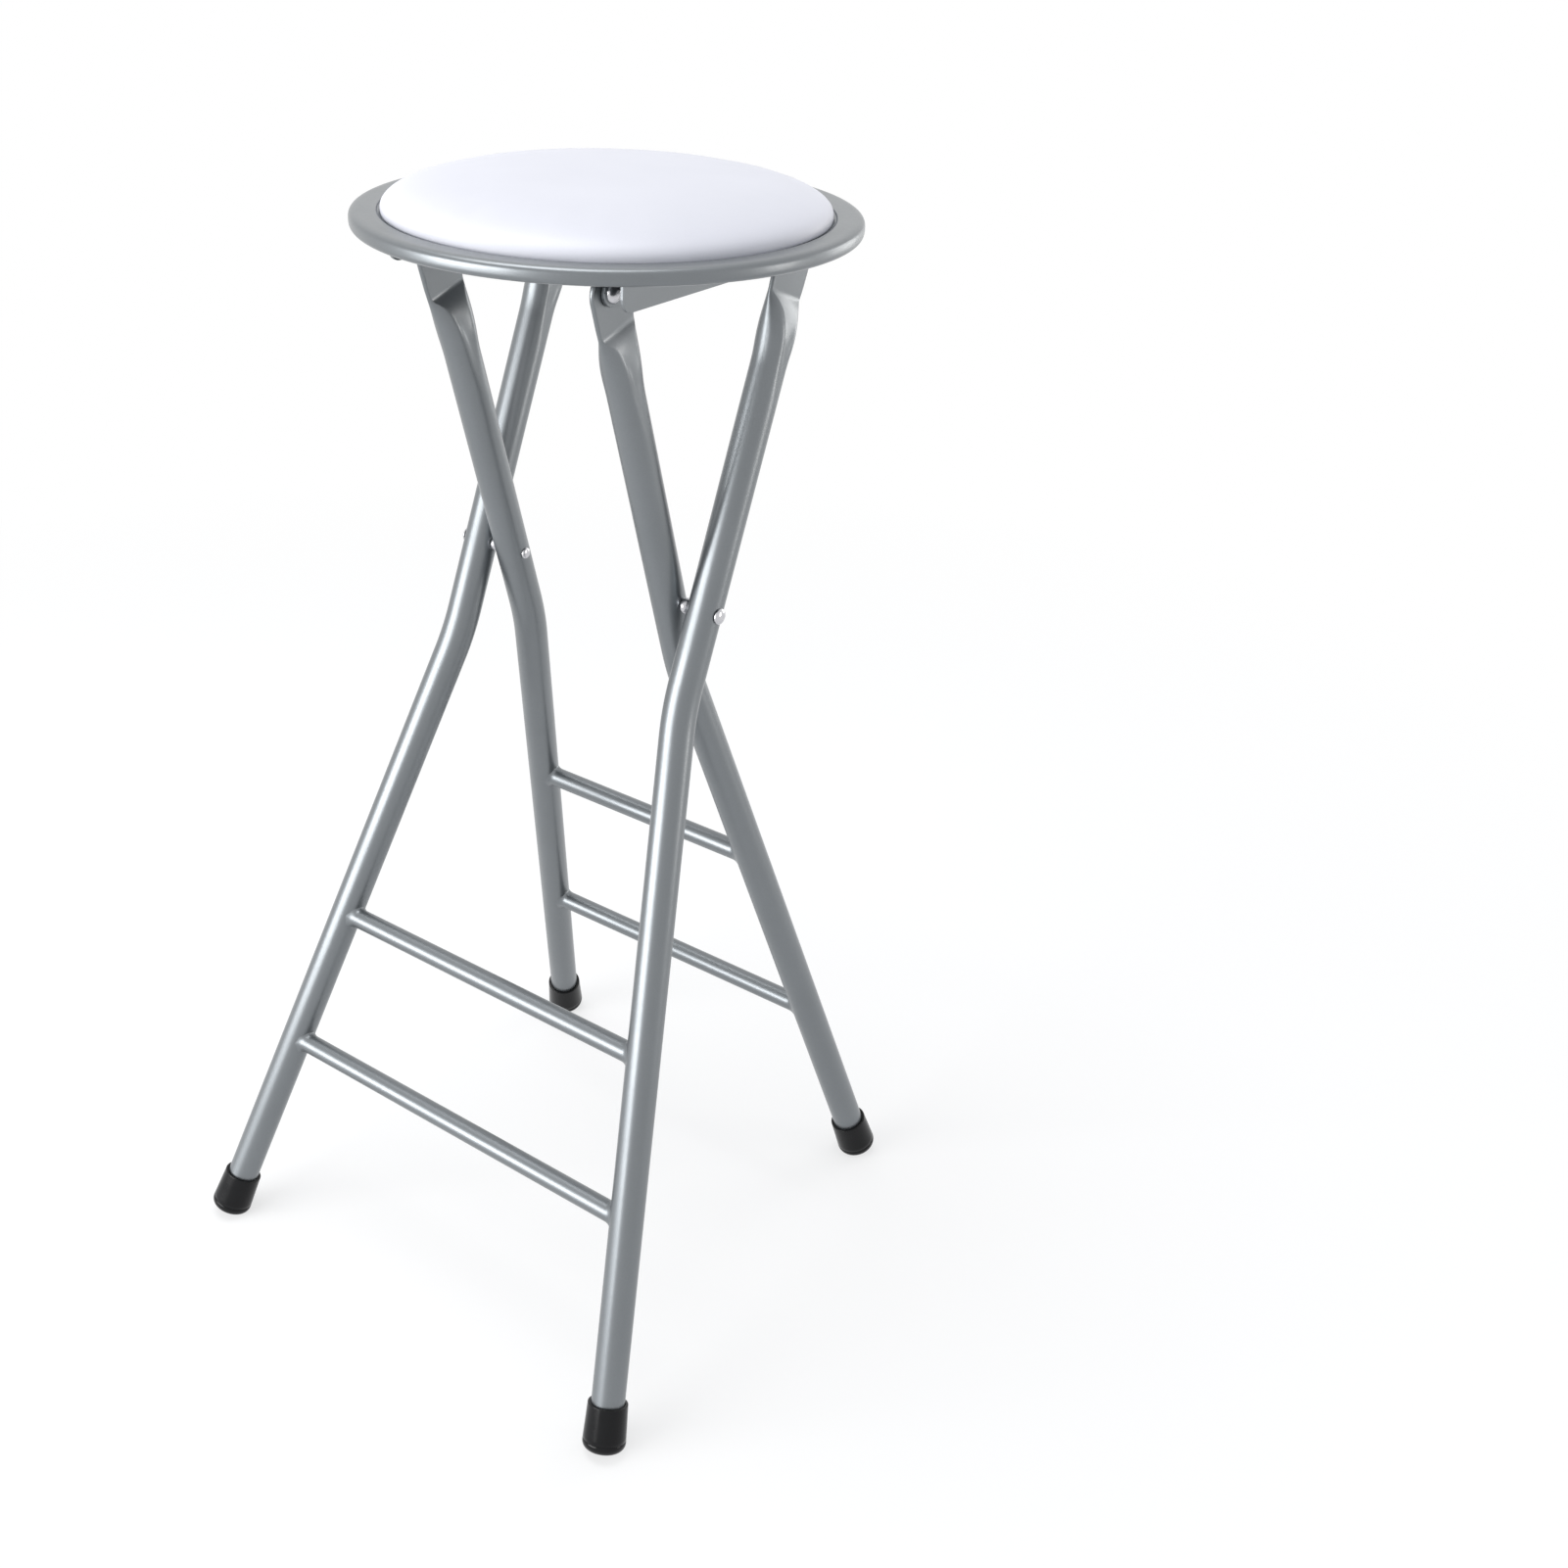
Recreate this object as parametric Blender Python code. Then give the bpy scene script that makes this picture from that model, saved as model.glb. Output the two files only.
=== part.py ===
"""Folding stool with a round padded seat: two crossed tube frames, a riveted four-bar fold
and a spring lock. Millimetres here, metres in the meshes. +Z up, origin on the floor under the
middle of the open stool's outline, X along the hinge axes, +Y towards the feet of the inner
frame. The shapes are laid out from the seat centre, which stands at SEAT_Y."""
import math

import bmesh
import bpy
from mathutils import Matrix, Vector
from mathutils.geometry import tessellate_polygon

MM = 0.001
GAP = 0.3                     # clearance between touching pieces
SEAT_Y = 33.9                 # seat centre towards +Y from the middle of the whole outline

# seat
RIM_R = 150.3                 # outer radius of the pressed rim
RIM_BAND = 18.1               # width of the rim outside the cushion
SEAT_Z = 722.0                # underside of the base plate, also the middle of the rim's roll
ROLL_W = 6.7                  # half width of the rim's outer roll
ROLL_H = 4.8                  # half height of the roll
ROLL_SQUARE = 0.75            # 1 is an ellipse, less is squarer
LIP_GAP = 1.6                 # between the cushion and the rim's lip
CUSHION_R = RIM_R - RIM_BAND
CUSHION_WIDE = 6.0            # the cushion's widest level over SEAT_Z
CROWN = 18.0                  # top of the cushion over its widest level
PLATE_LAP = 1.8               # base plate beyond the cushion
PLATE_R = CUSHION_R + PLATE_LAP
PLATE_T = 1.5
RIM_SHEET = 1.3
BOARD_INSET = 5.2             # seat board inside the cushion's side
BOARD_R = CUSHION_R - BOARD_INSET
BOARD_T = 8.6
FLANGE_LAP = 5.0              # rim flange under the board
FLANGE_R = BOARD_R - FLANGE_LAP
VENT_R = 4.0
SCREW_INSET = 8.5             # screws in from the board's edge
SCREW_RING_R = BOARD_R - SCREW_INSET
SCREW_HOLE_R = 2.3
SCREW_R = 2.0
SCREW_HEAD_R = 4.5
SCREW_HEAD_H = 2.6

# tube frames
TUBE_D = 22.2
TUBE_WALL = 1.5
RUNG_D = 14.0
RUNG_WALL = 1.2
FLAT_W = (36.0, 32.0)         # width of a flattened leg top, outer and inner frame
FLAT_T = 3.4
FLAT_CORNER = 14.0
FLAT_SET = (0.6, 1.4)         # flats off the leg's line towards +Y, outer and inner frame
FLAT_OUT = 2.0                # flats of the inner frame out from the leg's line
FLAT_ABOVE = 13.0             # flattened end above its pivot
FLAT_BELOW = 25.0             # flattened part below its pivot
FLAT_FADE = 21.0              # run-out from flat to round
BEND_R = 190.0                # bend of a leg below the crossing

# pivots in the side view, (Y, depth under SEAT_Z)
PIVOT_A = (66.0, 19.0)        # seat to outer frame
PIVOT_B = (-80.0, 18.0)       # link to inner frame, stool open
PIVOT_L = (-2.5, 15.0)        # link to bracket
FOOT_A_Y = -215.5             # outer frame on the floor
FOOT_B_Y = 147.0              # inner frame on the floor

# half widths of the frames (tube axis to the middle plane)
OUTER_W = (90.5, 92.5, 181.0)     # at the top pivot, at the bend, on the floor
LEG_APART = (28.5, 27.5, 29.5)    # inner frame's legs inside the outer's, at the same places
INNER_W = tuple(wide - apart for wide, apart in zip(OUTER_W, LEG_APART))
OUTER_BEND_RATIO = 0.370          # place of the bend along the leg
INNER_BEND_RATIO = 0.363
OUTER_RUNG_RATIOS = (0.660, 0.798)    # places of the rungs along the leg
INNER_RUNG_RATIOS = (0.582, 0.787)

# brackets and links
SHEET = 2.0                   # bracket sheet
WEB_IN = 84.7                 # inner face of a bracket web
WEB_DEPTH = 24.3              # lower edge of a web under SEAT_Z
WEB_Y = (-95.0, 80.0)
WEB_CORNER = 8.0              # rounding of a bracket's free corners
BRACKET_BEND = 3.0            # outer radius of its folded edge
FLANGE_IN = 62.0
LINK_T = 2.5
LINK_HW = 8.0                 # half width of a link
JOG = (32.0, 47.0)            # start and end of the jog, from the upper pivot

# fasteners
RIVET_R = 3.0
HOLE_R = RIVET_R + GAP
HEAD_R = 6.0
HEAD_H = 3.0
TAIL_R = 3.9
TAIL_H = 1.6
HALF_PIN_IN = 0.1             # end of a half pin inside the face it reaches
PIN_HEAD = (5.2, 2.6)         # cross pin, radius and height of its outer head
PIN_TAIL = (3.7, 1.8)
SPACER_R = 5.2
SPACER_CROWN = 1.3            # how much the ball-like spacer narrows at its ends

# lock on the left bracket
LOCK_REACH = 24.0             # plunger to the link's upper pivot
LOCK_DEPTH = 20.0             # crown of the housing out from the web
LOCK_HALF = 8.0               # half length of the crown
LOCK_FOOT = 7.5
LOCK_W = 17.6                 # height of the housing strip
LOCK_SHEET = 1.5
PLUNGER_R = 2.7
COLLAR_R = 4.6                # collar the spring pushes on
COLLAR_T = 1.3
COLLAR_OUT = 3.5              # collar out from the web at rest; it goes this far in to lock
RING_OUT = 8.0                # ring hole out from the housing
RING_EYE = 0.7                # play of the ring in its hole
RING_R = 9.5
RING_WIRE = 0.8
SPRING_R = 3.9
SPRING_WIRE = 0.5
SPRING_PITCH = 1.6
SPRING_TURNS = 5

# feet
TIP_R = 14.4
TIP_TOP_R = 13.3
TIP_H = 34.0
TIP_END = 2.2                 # middle of the tip's end over the floor point of the leg
TIP_EDGE = 5.5                # rounding of the tip's end
TIP_FLOOR = 8.0               # cup bottom over the tip's end

R = TUBE_D / 2
WEB_OUT = WEB_IN + SHEET
FLAT_A_X = WEB_OUT + GAP + FLAT_T / 2
FLAT_B_X = INNER_W[0] + FLAT_OUT
LINK_TOP_X = WEB_IN - GAP - LINK_T / 2
LINK_LOW_X = FLAT_B_X + FLAT_T / 2 + GAP + LINK_T / 2

for old in list(bpy.data.objects):
    bpy.data.objects.remove(old, do_unlink=True)
for old in list(bpy.data.meshes):
    bpy.data.meshes.remove(old)
for old in list(bpy.data.materials):
    bpy.data.materials.remove(old)


def material(name, colour, metallic, roughness):
    mat = bpy.data.materials.new(name)
    mat.use_nodes = True
    shader = mat.node_tree.nodes["Principled BSDF"]
    shader.inputs["Base Color"].default_value = (*colour, 1.0)
    shader.inputs["Metallic"].default_value = metallic
    shader.inputs["Roughness"].default_value = roughness
    mat.diffuse_color = (*colour, 1.0)
    return mat


SILVER = material("silver_paint", (0.50, 0.51, 0.53), 0.85, 0.32)
ZINC = material("bright_zinc", (0.62, 0.62, 0.63), 1.0, 0.28)
VINYL = material("white_vinyl", (0.86, 0.86, 0.89), 0.0, 0.45)
RUBBER = material("black_rubber", (0.015, 0.016, 0.018), 0.0, 0.5)
BOARD = material("seat_board", (0.42, 0.30, 0.19), 0.0, 0.8)
SPRING = material("spring_wire", (0.35, 0.35, 0.36), 1.0, 0.35)

AXES = {}
SEAT_PLACE = Vector((0, SEAT_Y, 0))


def axis_empty(name, place, parent=None):
    """Empty on a joint axis; the pieces that turn or slide there hang under it."""
    empty = bpy.data.objects.new(name, None)
    bpy.context.scene.collection.objects.link(empty)
    empty.location = (Vector(place) + SEAT_PLACE) * MM
    if parent:
        empty.parent = AXES[parent][0]
        empty.location = (Vector(place) - AXES[parent][1]) * MM
    AXES[name] = (empty, Vector(place))
    return name


def add(name, bm, mat, axis=None, smooth=True):
    """Makes one named piece from a bmesh in millimetres."""
    bmesh.ops.recalc_face_normals(bm, faces=bm.faces)
    base = AXES[axis][1] if axis else -SEAT_PLACE
    bmesh.ops.transform(bm, matrix=Matrix.Scale(MM, 4) @ Matrix.Translation(-base), verts=bm.verts)
    mesh = bpy.data.meshes.new(name)
    bm.to_mesh(mesh)
    bm.free()
    if mat:
        mesh.materials.append(mat)
    for poly in mesh.polygons:
        poly.use_smooth = smooth and len(poly.vertices) <= 4
    obj = bpy.data.objects.new(name, mesh)
    bpy.context.scene.collection.objects.link(obj)
    if axis:
        obj.parent = AXES[axis][0]
    return obj


def cut(obj, bm, axis=None):
    """Takes the closed shapes in bm out of the piece."""
    tool = add("cut_" + obj.name, bm, None, axis, smooth=False)
    tool.hide_render = True
    tool.display_type = "WIRE"
    mod = obj.modifiers.new("holes", "BOOLEAN")
    mod.operation = "DIFFERENCE"
    mod.solver = "EXACT"
    mod.object = tool


def loft(bm, rings, cap_start=True, cap_end=True):
    """Joins rings of equal length into a skin and closes its ends."""
    loops = [[bm.verts.new(p) for p in ring] for ring in rings]
    for one, two in zip(loops, loops[1:]):
        n = len(one)
        for i in range(n):
            bm.faces.new((one[i], one[(i + 1) % n], two[(i + 1) % n], two[i]))
    if cap_start:
        bm.faces.new(list(reversed(loops[0])))
    if cap_end:
        bm.faces.new(loops[-1])
    return loops


def frame_of(direction):
    """Two unit vectors square to a direction."""
    d = Vector(direction).normalized()
    side = d.cross(Vector((0, 1, 0)) if abs(d.y) < 0.9 else Vector((1, 0, 0))).normalized()
    return d, side, d.cross(side)


def revolve(bm, profile, origin, direction, steps, closed=False):
    """Turns (radius, height) points about an axis. Radius 0 is a pole."""
    d, u, v = frame_of(direction)
    o = Vector(origin)
    rows = []
    for radius, height in profile:
        if radius < 1e-9:
            rows.append([bm.verts.new(o + d * height)])
        else:
            rows.append([bm.verts.new(o + d * height + radius * (
                math.cos(math.tau * k / steps) * u + math.sin(math.tau * k / steps) * v))
                for k in range(steps)])
    pairs = list(zip(rows, rows[1:]))
    if closed:
        pairs.append((rows[-1], rows[0]))
    for one, two in pairs:
        for i in range(steps):
            j = (i + 1) % steps
            if len(one) == 1 and len(two) > 1:
                bm.faces.new((one[0], two[i], two[j]))
            elif len(two) == 1 and len(one) > 1:
                bm.faces.new((one[i], one[j], two[0]))
            else:
                bm.faces.new((one[i], one[j], two[j], two[i]))


def rod(bm, start, end, radius, steps=16):
    """Closed cylinder between two points, used for holes."""
    a, b = Vector(start), Vector(end)
    d, u, v = frame_of(b - a)
    ring = [radius * (math.cos(math.tau * k / steps) * u + math.sin(math.tau * k / steps) * v)
            for k in range(steps)]
    loft(bm, [[a + p for p in ring], [b + p for p in ring]])


def prism(bm, outline, place, low, high):
    """Closed prism of a flat outline; place(a, b, h) gives the point."""
    loft(bm, [[place(a, b, low) for a, b in outline], [place(a, b, high) for a, b in outline]])


def plate(bm, outline, holes, place, low, high):
    """Sheet with round holes: one flat outline, holes as (a, b, radius)."""
    loops = [outline] + [
        [(a + r * math.cos(math.tau * k / 16), b + r * math.sin(math.tau * k / 16)) for k in range(16)]
        for a, b, r in holes]
    flat = [[Vector((a, b, 0)) for a, b in loop] for loop in loops]
    tris = tessellate_polygon(flat)
    points = [p for loop in loops for p in loop]
    lower = [bm.verts.new(place(a, b, low)) for a, b in points]
    upper = [bm.verts.new(place(a, b, high)) for a, b in points]
    for i, j, k in tris:
        bm.faces.new((lower[i], lower[j], lower[k]))
        bm.faces.new((upper[k], upper[j], upper[i]))
    base = 0
    for loop in loops:
        n = len(loop)
        for k in range(n):
            a, b = base + k, base + (k + 1) % n
            bm.faces.new((lower[a], lower[b], upper[b], upper[a]))
        base += n


def circle(radius, steps):
    return [(radius * math.cos(math.tau * k / steps), radius * math.sin(math.tau * k / steps))
            for k in range(steps)]


def arc(cx, cy, radius, start, end, steps):
    """Points of an arc in degrees, ends included."""
    out = []
    for k in range(steps + 1):
        a = math.radians(start + (end - start) * k / steps)
        out.append((cx + radius * math.cos(a), cy + radius * math.sin(a)))
    return out


def flat_point(x, y, z):
    return Vector((x, y, z))


# ---- side view of the two frames
def side_point(pivot):
    return Vector((pivot[0], SEAT_Z - pivot[1]))


class Frame:
    """One tube frame: a flat ladder whose legs run from the top pivots to the floor."""

    def __init__(self, pivot, foot_y, widths, bend, rungs):
        self.top = side_point(pivot)
        self.foot = Vector((foot_y, 0.0))
        self.length = (self.foot - self.top).length
        self.dir = (self.foot - self.top) / self.length
        self.widths, self.bend, self.rungs = widths, bend * self.length, rungs

    def yz(self, s):
        return self.top + self.dir * s

    def line(self, s):
        """Half width on the straight lines that meet at the bend."""
        top, mid, low = self.widths
        if s < self.bend:
            return top + (mid - top) * s / self.bend
        return mid + (low - mid) * (s - self.bend) / (self.length - self.bend)

    def slopes(self):
        top, mid, low = self.widths
        return (mid - top) / self.bend, (low - mid) / (self.length - self.bend)

    def width(self, s):
        """Half width with the bend rounded by an arc of BEND_R."""
        m0, m1 = self.slopes()
        half = BEND_R * math.tan((math.atan(m1) - math.atan(m0)) / 2)
        t = (s - self.bend) / half
        if abs(t) >= 1:
            return self.line(s)
        return self.widths[1] + half / 4 * (m1 * (t + 1) ** 2 - m0 * (t - 1) ** 2)

    def axis(self, side, s, w=None):
        y, z = self.yz(s)
        return Vector((side * (self.width(s) if w is None else w), y, z))

    def low_dir(self, side):
        _, m1 = self.slopes()
        return Vector((side * m1, self.dir.x, self.dir.y)).normalized()

    def foot_point(self, side):
        return Vector((side * self.widths[2], self.foot.x, 0.0))


OUTER = Frame(PIVOT_A, FOOT_A_Y, OUTER_W, OUTER_BEND_RATIO, OUTER_RUNG_RATIOS)
INNER = Frame(PIVOT_B, FOOT_B_Y, INNER_W, INNER_BEND_RATIO, INNER_RUNG_RATIOS)

# crossing of the two frames
_a, _b, _da, _db = OUTER.top, INNER.top, OUTER.dir, INNER.dir
CROSS_A = ((_b - _a).x * _db.y - (_b - _a).y * _db.x) / (_da.x * _db.y - _da.y * _db.x)
CROSS = OUTER.yz(CROSS_A)
CROSS_B = (CROSS - INNER.top).length


def leg(name, frame, side, flat_x, flat_w, flat_set, cross_s, axis):
    """Tube leg: flattened top with rounded corners, one bend, open bored lower end."""
    normal = Vector((0, -frame.dir.y, frame.dir.x))
    along = Vector((0, frame.dir.x, frame.dir.y))
    steps = 24
    bm = bmesh.new()
    thick = FLAT_T / 2
    rings = []

    def pressed_ring(s, wide, deep, x, shift):
        """Flattened section at s: two flat faces joined by half rounds of radius deep."""
        y, z = frame.yz(s)
        out = []
        for k in range(steps):
            a = math.tau * (k + 0.5) / steps
            across = deep * math.sin(a) + math.copysign(wide - deep, math.sin(a)) + shift
            out.append(Vector((side * (x + deep * math.cos(a)), y, z)) + normal * across)
        return out

    for k in range(6):
        a = math.radians(20 + 70 * k / 5)
        wide = flat_w / 2 - FLAT_CORNER * (1 - math.sin(a))
        s = FLAT_CORNER * (1 - math.cos(a)) - FLAT_ABOVE
        rings.append(pressed_ring(s, wide, thick, flat_x, flat_set))
    for t in (0.0, 0.5, 1.0):
        s = FLAT_BELOW + FLAT_FADE * t
        rings.append(pressed_ring(s, flat_w / 2 + (R - flat_w / 2) * t, thick + (R - thick) * t,
                                  flat_x + (frame.width(s) - flat_x) * t, flat_set * (1 - t)))

    m0, m1 = frame.slopes()
    half = BEND_R * math.tan((math.atan(m1) - math.atan(m0)) / 2)
    end = frame.length - (TIP_FLOOR + GAP)
    stops = [frame.bend + half * t for t in (-1, -0.6, -0.2, 0.2, 0.6, 1)] + [end]
    low = frame.low_dir(side)

    def round_ring(s, radius, axis_dir):
        centre = frame.axis(side, s)
        lateral = Vector((side, 0, 0)) - axis_dir * axis_dir.x * side
        lateral.normalize()
        turns = [math.tau * (k + 0.5) / steps for k in range(steps)]
        return [centre + radius * (math.cos(a) * lateral + math.sin(a) * normal) for a in turns]

    def tangent(s):
        m = (frame.width(s + 0.5) - frame.width(s - 0.5)) / 1.0
        return Vector((side * m, 0, 0)) + along

    for s in stops:
        rings.append(round_ring(s, R, tangent(s).normalized() if s < end else low))
    bore = R - TUBE_WALL
    inner = [round_ring(s, bore, tangent(s).normalized() if s < end else low) for s in reversed(stops)]
    inner.append(round_ring(FLAT_BELOW + FLAT_FADE + 8.0, bore, tangent(100.0).normalized()))
    loft(bm, rings + inner)
    obj = add(name, bm, SILVER, axis)
    holes = bmesh.new()
    y, z = frame.top
    rod(holes, (side * (flat_x - 6), y, z), (side * (flat_x + 6), y, z), HOLE_R)
    y, z = CROSS
    w = frame.width(cross_s)
    rod(holes, (side * (w - 16), y, z), (side * (w + 16), y, z), HOLE_R)
    cut(obj, holes, axis)
    return obj


def rung(name, frame, place, axis):
    """Tube rung with both ends shaped to the legs."""
    s = place * frame.length
    y, z = frame.yz(s)
    w = frame.width(s)
    low = frame.low_dir(1)
    steps = 20

    def reach(oy, oz):
        """X where a line along the rung meets the leg's surface plus the clearance."""
        k = oy * low.y + oz * low.z
        a = 1 - low.x ** 2
        b = -2 * low.x * k
        c = oy * oy + oz * oz - k * k - (R + GAP) ** 2
        return w + (-b - math.sqrt(b * b - 4 * a * c)) / (2 * a)

    bm = bmesh.new()
    outer, inner = [], []
    for sign in (-1, 1):
        for radius, into in ((RUNG_D / 2, outer), (RUNG_D / 2 - RUNG_WALL, inner)):
            ring = []
            for k in range(steps):
                oy = radius * math.cos(math.tau * k / steps)
                oz = radius * math.sin(math.tau * k / steps)
                ring.append(Vector((sign * reach(oy, oz), y + oy, z + oz)))
            into.append(ring)
    loops = [[bm.verts.new(p) for p in ring] for ring in (outer[0], outer[1], inner[1], inner[0])]
    for i in range(4):
        one, two = loops[i], loops[(i + 1) % 4]
        for k in range(steps):
            bm.faces.new((one[k], one[(k + 1) % steps], two[(k + 1) % steps], two[k]))
    return add(name, bm, SILVER, axis)


def foot_tip(name, frame, side, axis):
    """Rubber cup over a leg's end, cut level where it stands on the floor."""
    bm = bmesh.new()
    up = -frame.low_dir(side)
    inner = R + GAP
    steps = 20
    profile = [(0.0, TIP_END)]
    profile += arc(TIP_R - TIP_EDGE, TIP_END + TIP_EDGE, TIP_EDGE, -90, 0, 4)
    profile += [(TIP_TOP_R, TIP_H - 2.0), (TIP_TOP_R - 0.6, TIP_H - 0.5),
                (inner + 0.6, TIP_H), (inner, TIP_H - 0.6), (inner, TIP_FLOOR), (0.0, TIP_FLOOR)]
    revolve(bm, profile, frame.foot_point(side), up, steps)
    geom = bm.verts[:] + bm.edges[:] + bm.faces[:]
    done = bmesh.ops.bisect_plane(bm, geom=geom, plane_co=(0, 0, 0), plane_no=(0, 0, 1),
                                  clear_inner=True, dist=1e-6)
    edge = [e for e in done["geom_cut"] if isinstance(e, bmesh.types.BMEdge)]
    bmesh.ops.contextual_create(bm, geom=edge)
    return add(name, bm, RUBBER, axis)


def dome(radius, height, base, up, steps=3):
    """Profile of a rivet dome from its edge to the pole."""
    out = []
    for k in range(steps + 1):
        a = math.pi / 2 * k / steps
        out.append((radius * math.cos(a), base + up * height * math.sin(a)))
    out[-1] = (0.0, base + up * height)
    return out


def rivet(name, y, z, side, x_tail, x_head, axis, shank=RIVET_R, head=(HEAD_R, HEAD_H),
          tail=(TAIL_R, TAIL_H), mat=None):
    """Rivet along X: its head faces out, its tail in. A part left out has size None."""
    profile = []
    if tail:
        profile += list(reversed(dome(tail[0], tail[1], x_tail, -1)))
    else:
        profile += [(0.0, x_tail)]
    profile += [(shank, x_tail), (shank, x_head)]
    if head:
        profile += dome(head[0], head[1], x_head, 1)
    else:
        profile += [(0.0, x_head)]
    bm = bmesh.new()
    revolve(bm, profile, (0, y, z), (side, 0, 0), 16)
    return add(name, bm, mat or ZINC, axis)


# ---- joint axes
axis_empty("seat_axis", (0, PIVOT_A[0], SEAT_Z - PIVOT_A[1]))
axis_empty("inner_frame_axis", (0, CROSS.x, CROSS.y))
SIDES = (("left", -1), ("right", 1))
for word, side in SIDES:
    axis_empty(f"link_{word}_axis", (side * LINK_TOP_X, PIVOT_L[0], SEAT_Z - PIVOT_L[1]), "seat_axis")
_l = side_point(PIVOT_L)
_open = (side_point(PIVOT_B) - _l).normalized()
LOCK = _l + _open * LOCK_REACH
CROWN_X = WEB_OUT + GAP + LOCK_DEPTH
RING_X = CROWN_X + RING_OUT
axis_empty("lock_pin_axis", (-WEB_IN, LOCK.x, LOCK.y), "seat_axis")
axis_empty("pull_ring_axis", (-RING_X, LOCK.x, LOCK.y), "lock_pin_axis")

# ---- frames
for word, side in SIDES:
    leg(f"outer_leg_{word}", OUTER, side, FLAT_A_X, FLAT_W[0], FLAT_SET[0], CROSS_A, None)
    leg(f"inner_leg_{word}", INNER, side, FLAT_B_X, FLAT_W[1], FLAT_SET[1], CROSS_B,
        "inner_frame_axis")
    foot_tip(f"outer_foot_tip_{word}", OUTER, side, None)
    foot_tip(f"inner_foot_tip_{word}", INNER, side, "inner_frame_axis")
for word, k in (("upper", 0), ("lower", 1)):
    rung(f"outer_rung_{word}", OUTER, OUTER.rungs[k], None)
    rung(f"inner_rung_{word}", INNER, INNER.rungs[k], "inner_frame_axis")

# ---- cross pins and their round spacers
for word, side in SIDES:
    y, z = CROSS
    w_out, w_in = OUTER.width(CROSS_A), INNER.width(CROSS_B)
    rivet(f"cross_pin_{word}", y, z, side, w_in - R - GAP, w_out + R + GAP, None,
          head=PIN_HEAD, tail=PIN_TAIL)
    x0, x1 = w_in + R + GAP, w_out - R - GAP
    mid, half = (x0 + x1) / 2, (x1 - x0) / 2
    bm = bmesh.new()
    outer = [(SPACER_R - SPACER_CROWN * t * t, mid + half * t) for t in (-1, -0.5, 0, 0.5, 1)]
    revolve(bm, outer + [(HOLE_R, x1), (HOLE_R, x0)], (0, y, z), (side, 0, 0), 20, closed=True)
    add(f"cross_spacer_{word}", bm, ZINC, None)

# ---- seat: rim, base plate, board, cushion
z0 = SEAT_Z
bm = bmesh.new()
FLANGE_TOP = z0 + PLATE_T + GAP + RIM_SHEET
LIP_R = CUSHION_R + LIP_GAP
ROLL_R = RIM_R - ROLL_W


def roll(degrees):
    """Point on the squarish outer roll of the rim."""
    c, s = math.cos(math.radians(degrees)), math.sin(math.radians(degrees))
    return (ROLL_R + ROLL_W * math.copysign(abs(c) ** ROLL_SQUARE, c),
            z0 + ROLL_H * math.copysign(abs(s) ** ROLL_SQUARE, s))


rim = [(FLANGE_R, FLANGE_TOP), (LIP_R, FLANGE_TOP), (LIP_R + 0.4, z0 + ROLL_H - 0.8),
       (LIP_R + 1.5, z0 + ROLL_H - 0.3)]
rim += [roll(a) for a in (90, 62, 42, 25, 10, -10, -28, -48, -68, -90, -130)]
rim += [(PLATE_R + GAP, z0 + 0.1), (PLATE_R + GAP, z0 + PLATE_T + GAP), (FLANGE_R, z0 + PLATE_T + GAP)]
revolve(bm, rim, (0, 0, 0), (0, 0, 1), 60, closed=True)
add("seat_rim", bm, SILVER, "seat_axis")

SCREWS = [(SCREW_RING_R, 0), (0, SCREW_RING_R), (-SCREW_RING_R, 0), (0, -SCREW_RING_R)]
bm = bmesh.new()
plate(bm, circle(PLATE_R, 60), [(0, 0, VENT_R)] + [(x, y, SCREW_HOLE_R) for x, y in SCREWS],
      flat_point, z0, z0 + PLATE_T)
add("base_plate", bm, SILVER, "seat_axis", smooth=False)

board_z = FLANGE_TOP + GAP
bm = bmesh.new()
plate(bm, circle(BOARD_R, 56), [(x, y, SCREW_HOLE_R) for x, y in SCREWS], flat_point,
      board_z, board_z + BOARD_T)
add("seat_board", bm, BOARD, "seat_axis", smooth=False)

bm = bmesh.new()
under = board_z + BOARD_T + GAP
skirt_r = BOARD_R + GAP + 0.2
hem = FLANGE_TOP + 0.6
skin = [(0.0, under), (skirt_r, under), (skirt_r, hem),
        (CUSHION_R - 2.2, hem), (CUSHION_R - 0.5, hem + 0.8), (CUSHION_R, z0 + CUSHION_WIDE)]
for k in range(1, 11):
    a = math.pi / 2 * k / 10
    skin.append((CUSHION_R * math.cos(a) ** 0.55 if k < 10 else 0.0,
                 z0 + CUSHION_WIDE + CROWN * math.sin(a)))
revolve(bm, skin, (0, 0, 0), (0, 0, 1), 56)
add("seat_cushion", bm, VINYL, "seat_axis")

for k, (x, y) in enumerate(SCREWS):
    bm = bmesh.new()
    top = z0 - GAP
    point = board_z + BOARD_T - 1.0
    profile = list(reversed(dome(SCREW_HEAD_R, SCREW_HEAD_H, top, -1, 4)))
    profile += [(SCREW_R, top), (SCREW_R, point - 1.5), (0.0, point)]
    revolve(bm, profile, (x, y, 0), (0, 0, 1), 16)
    add(f"seat_screw_{k + 1}", bm, ZINC, "seat_axis")

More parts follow.
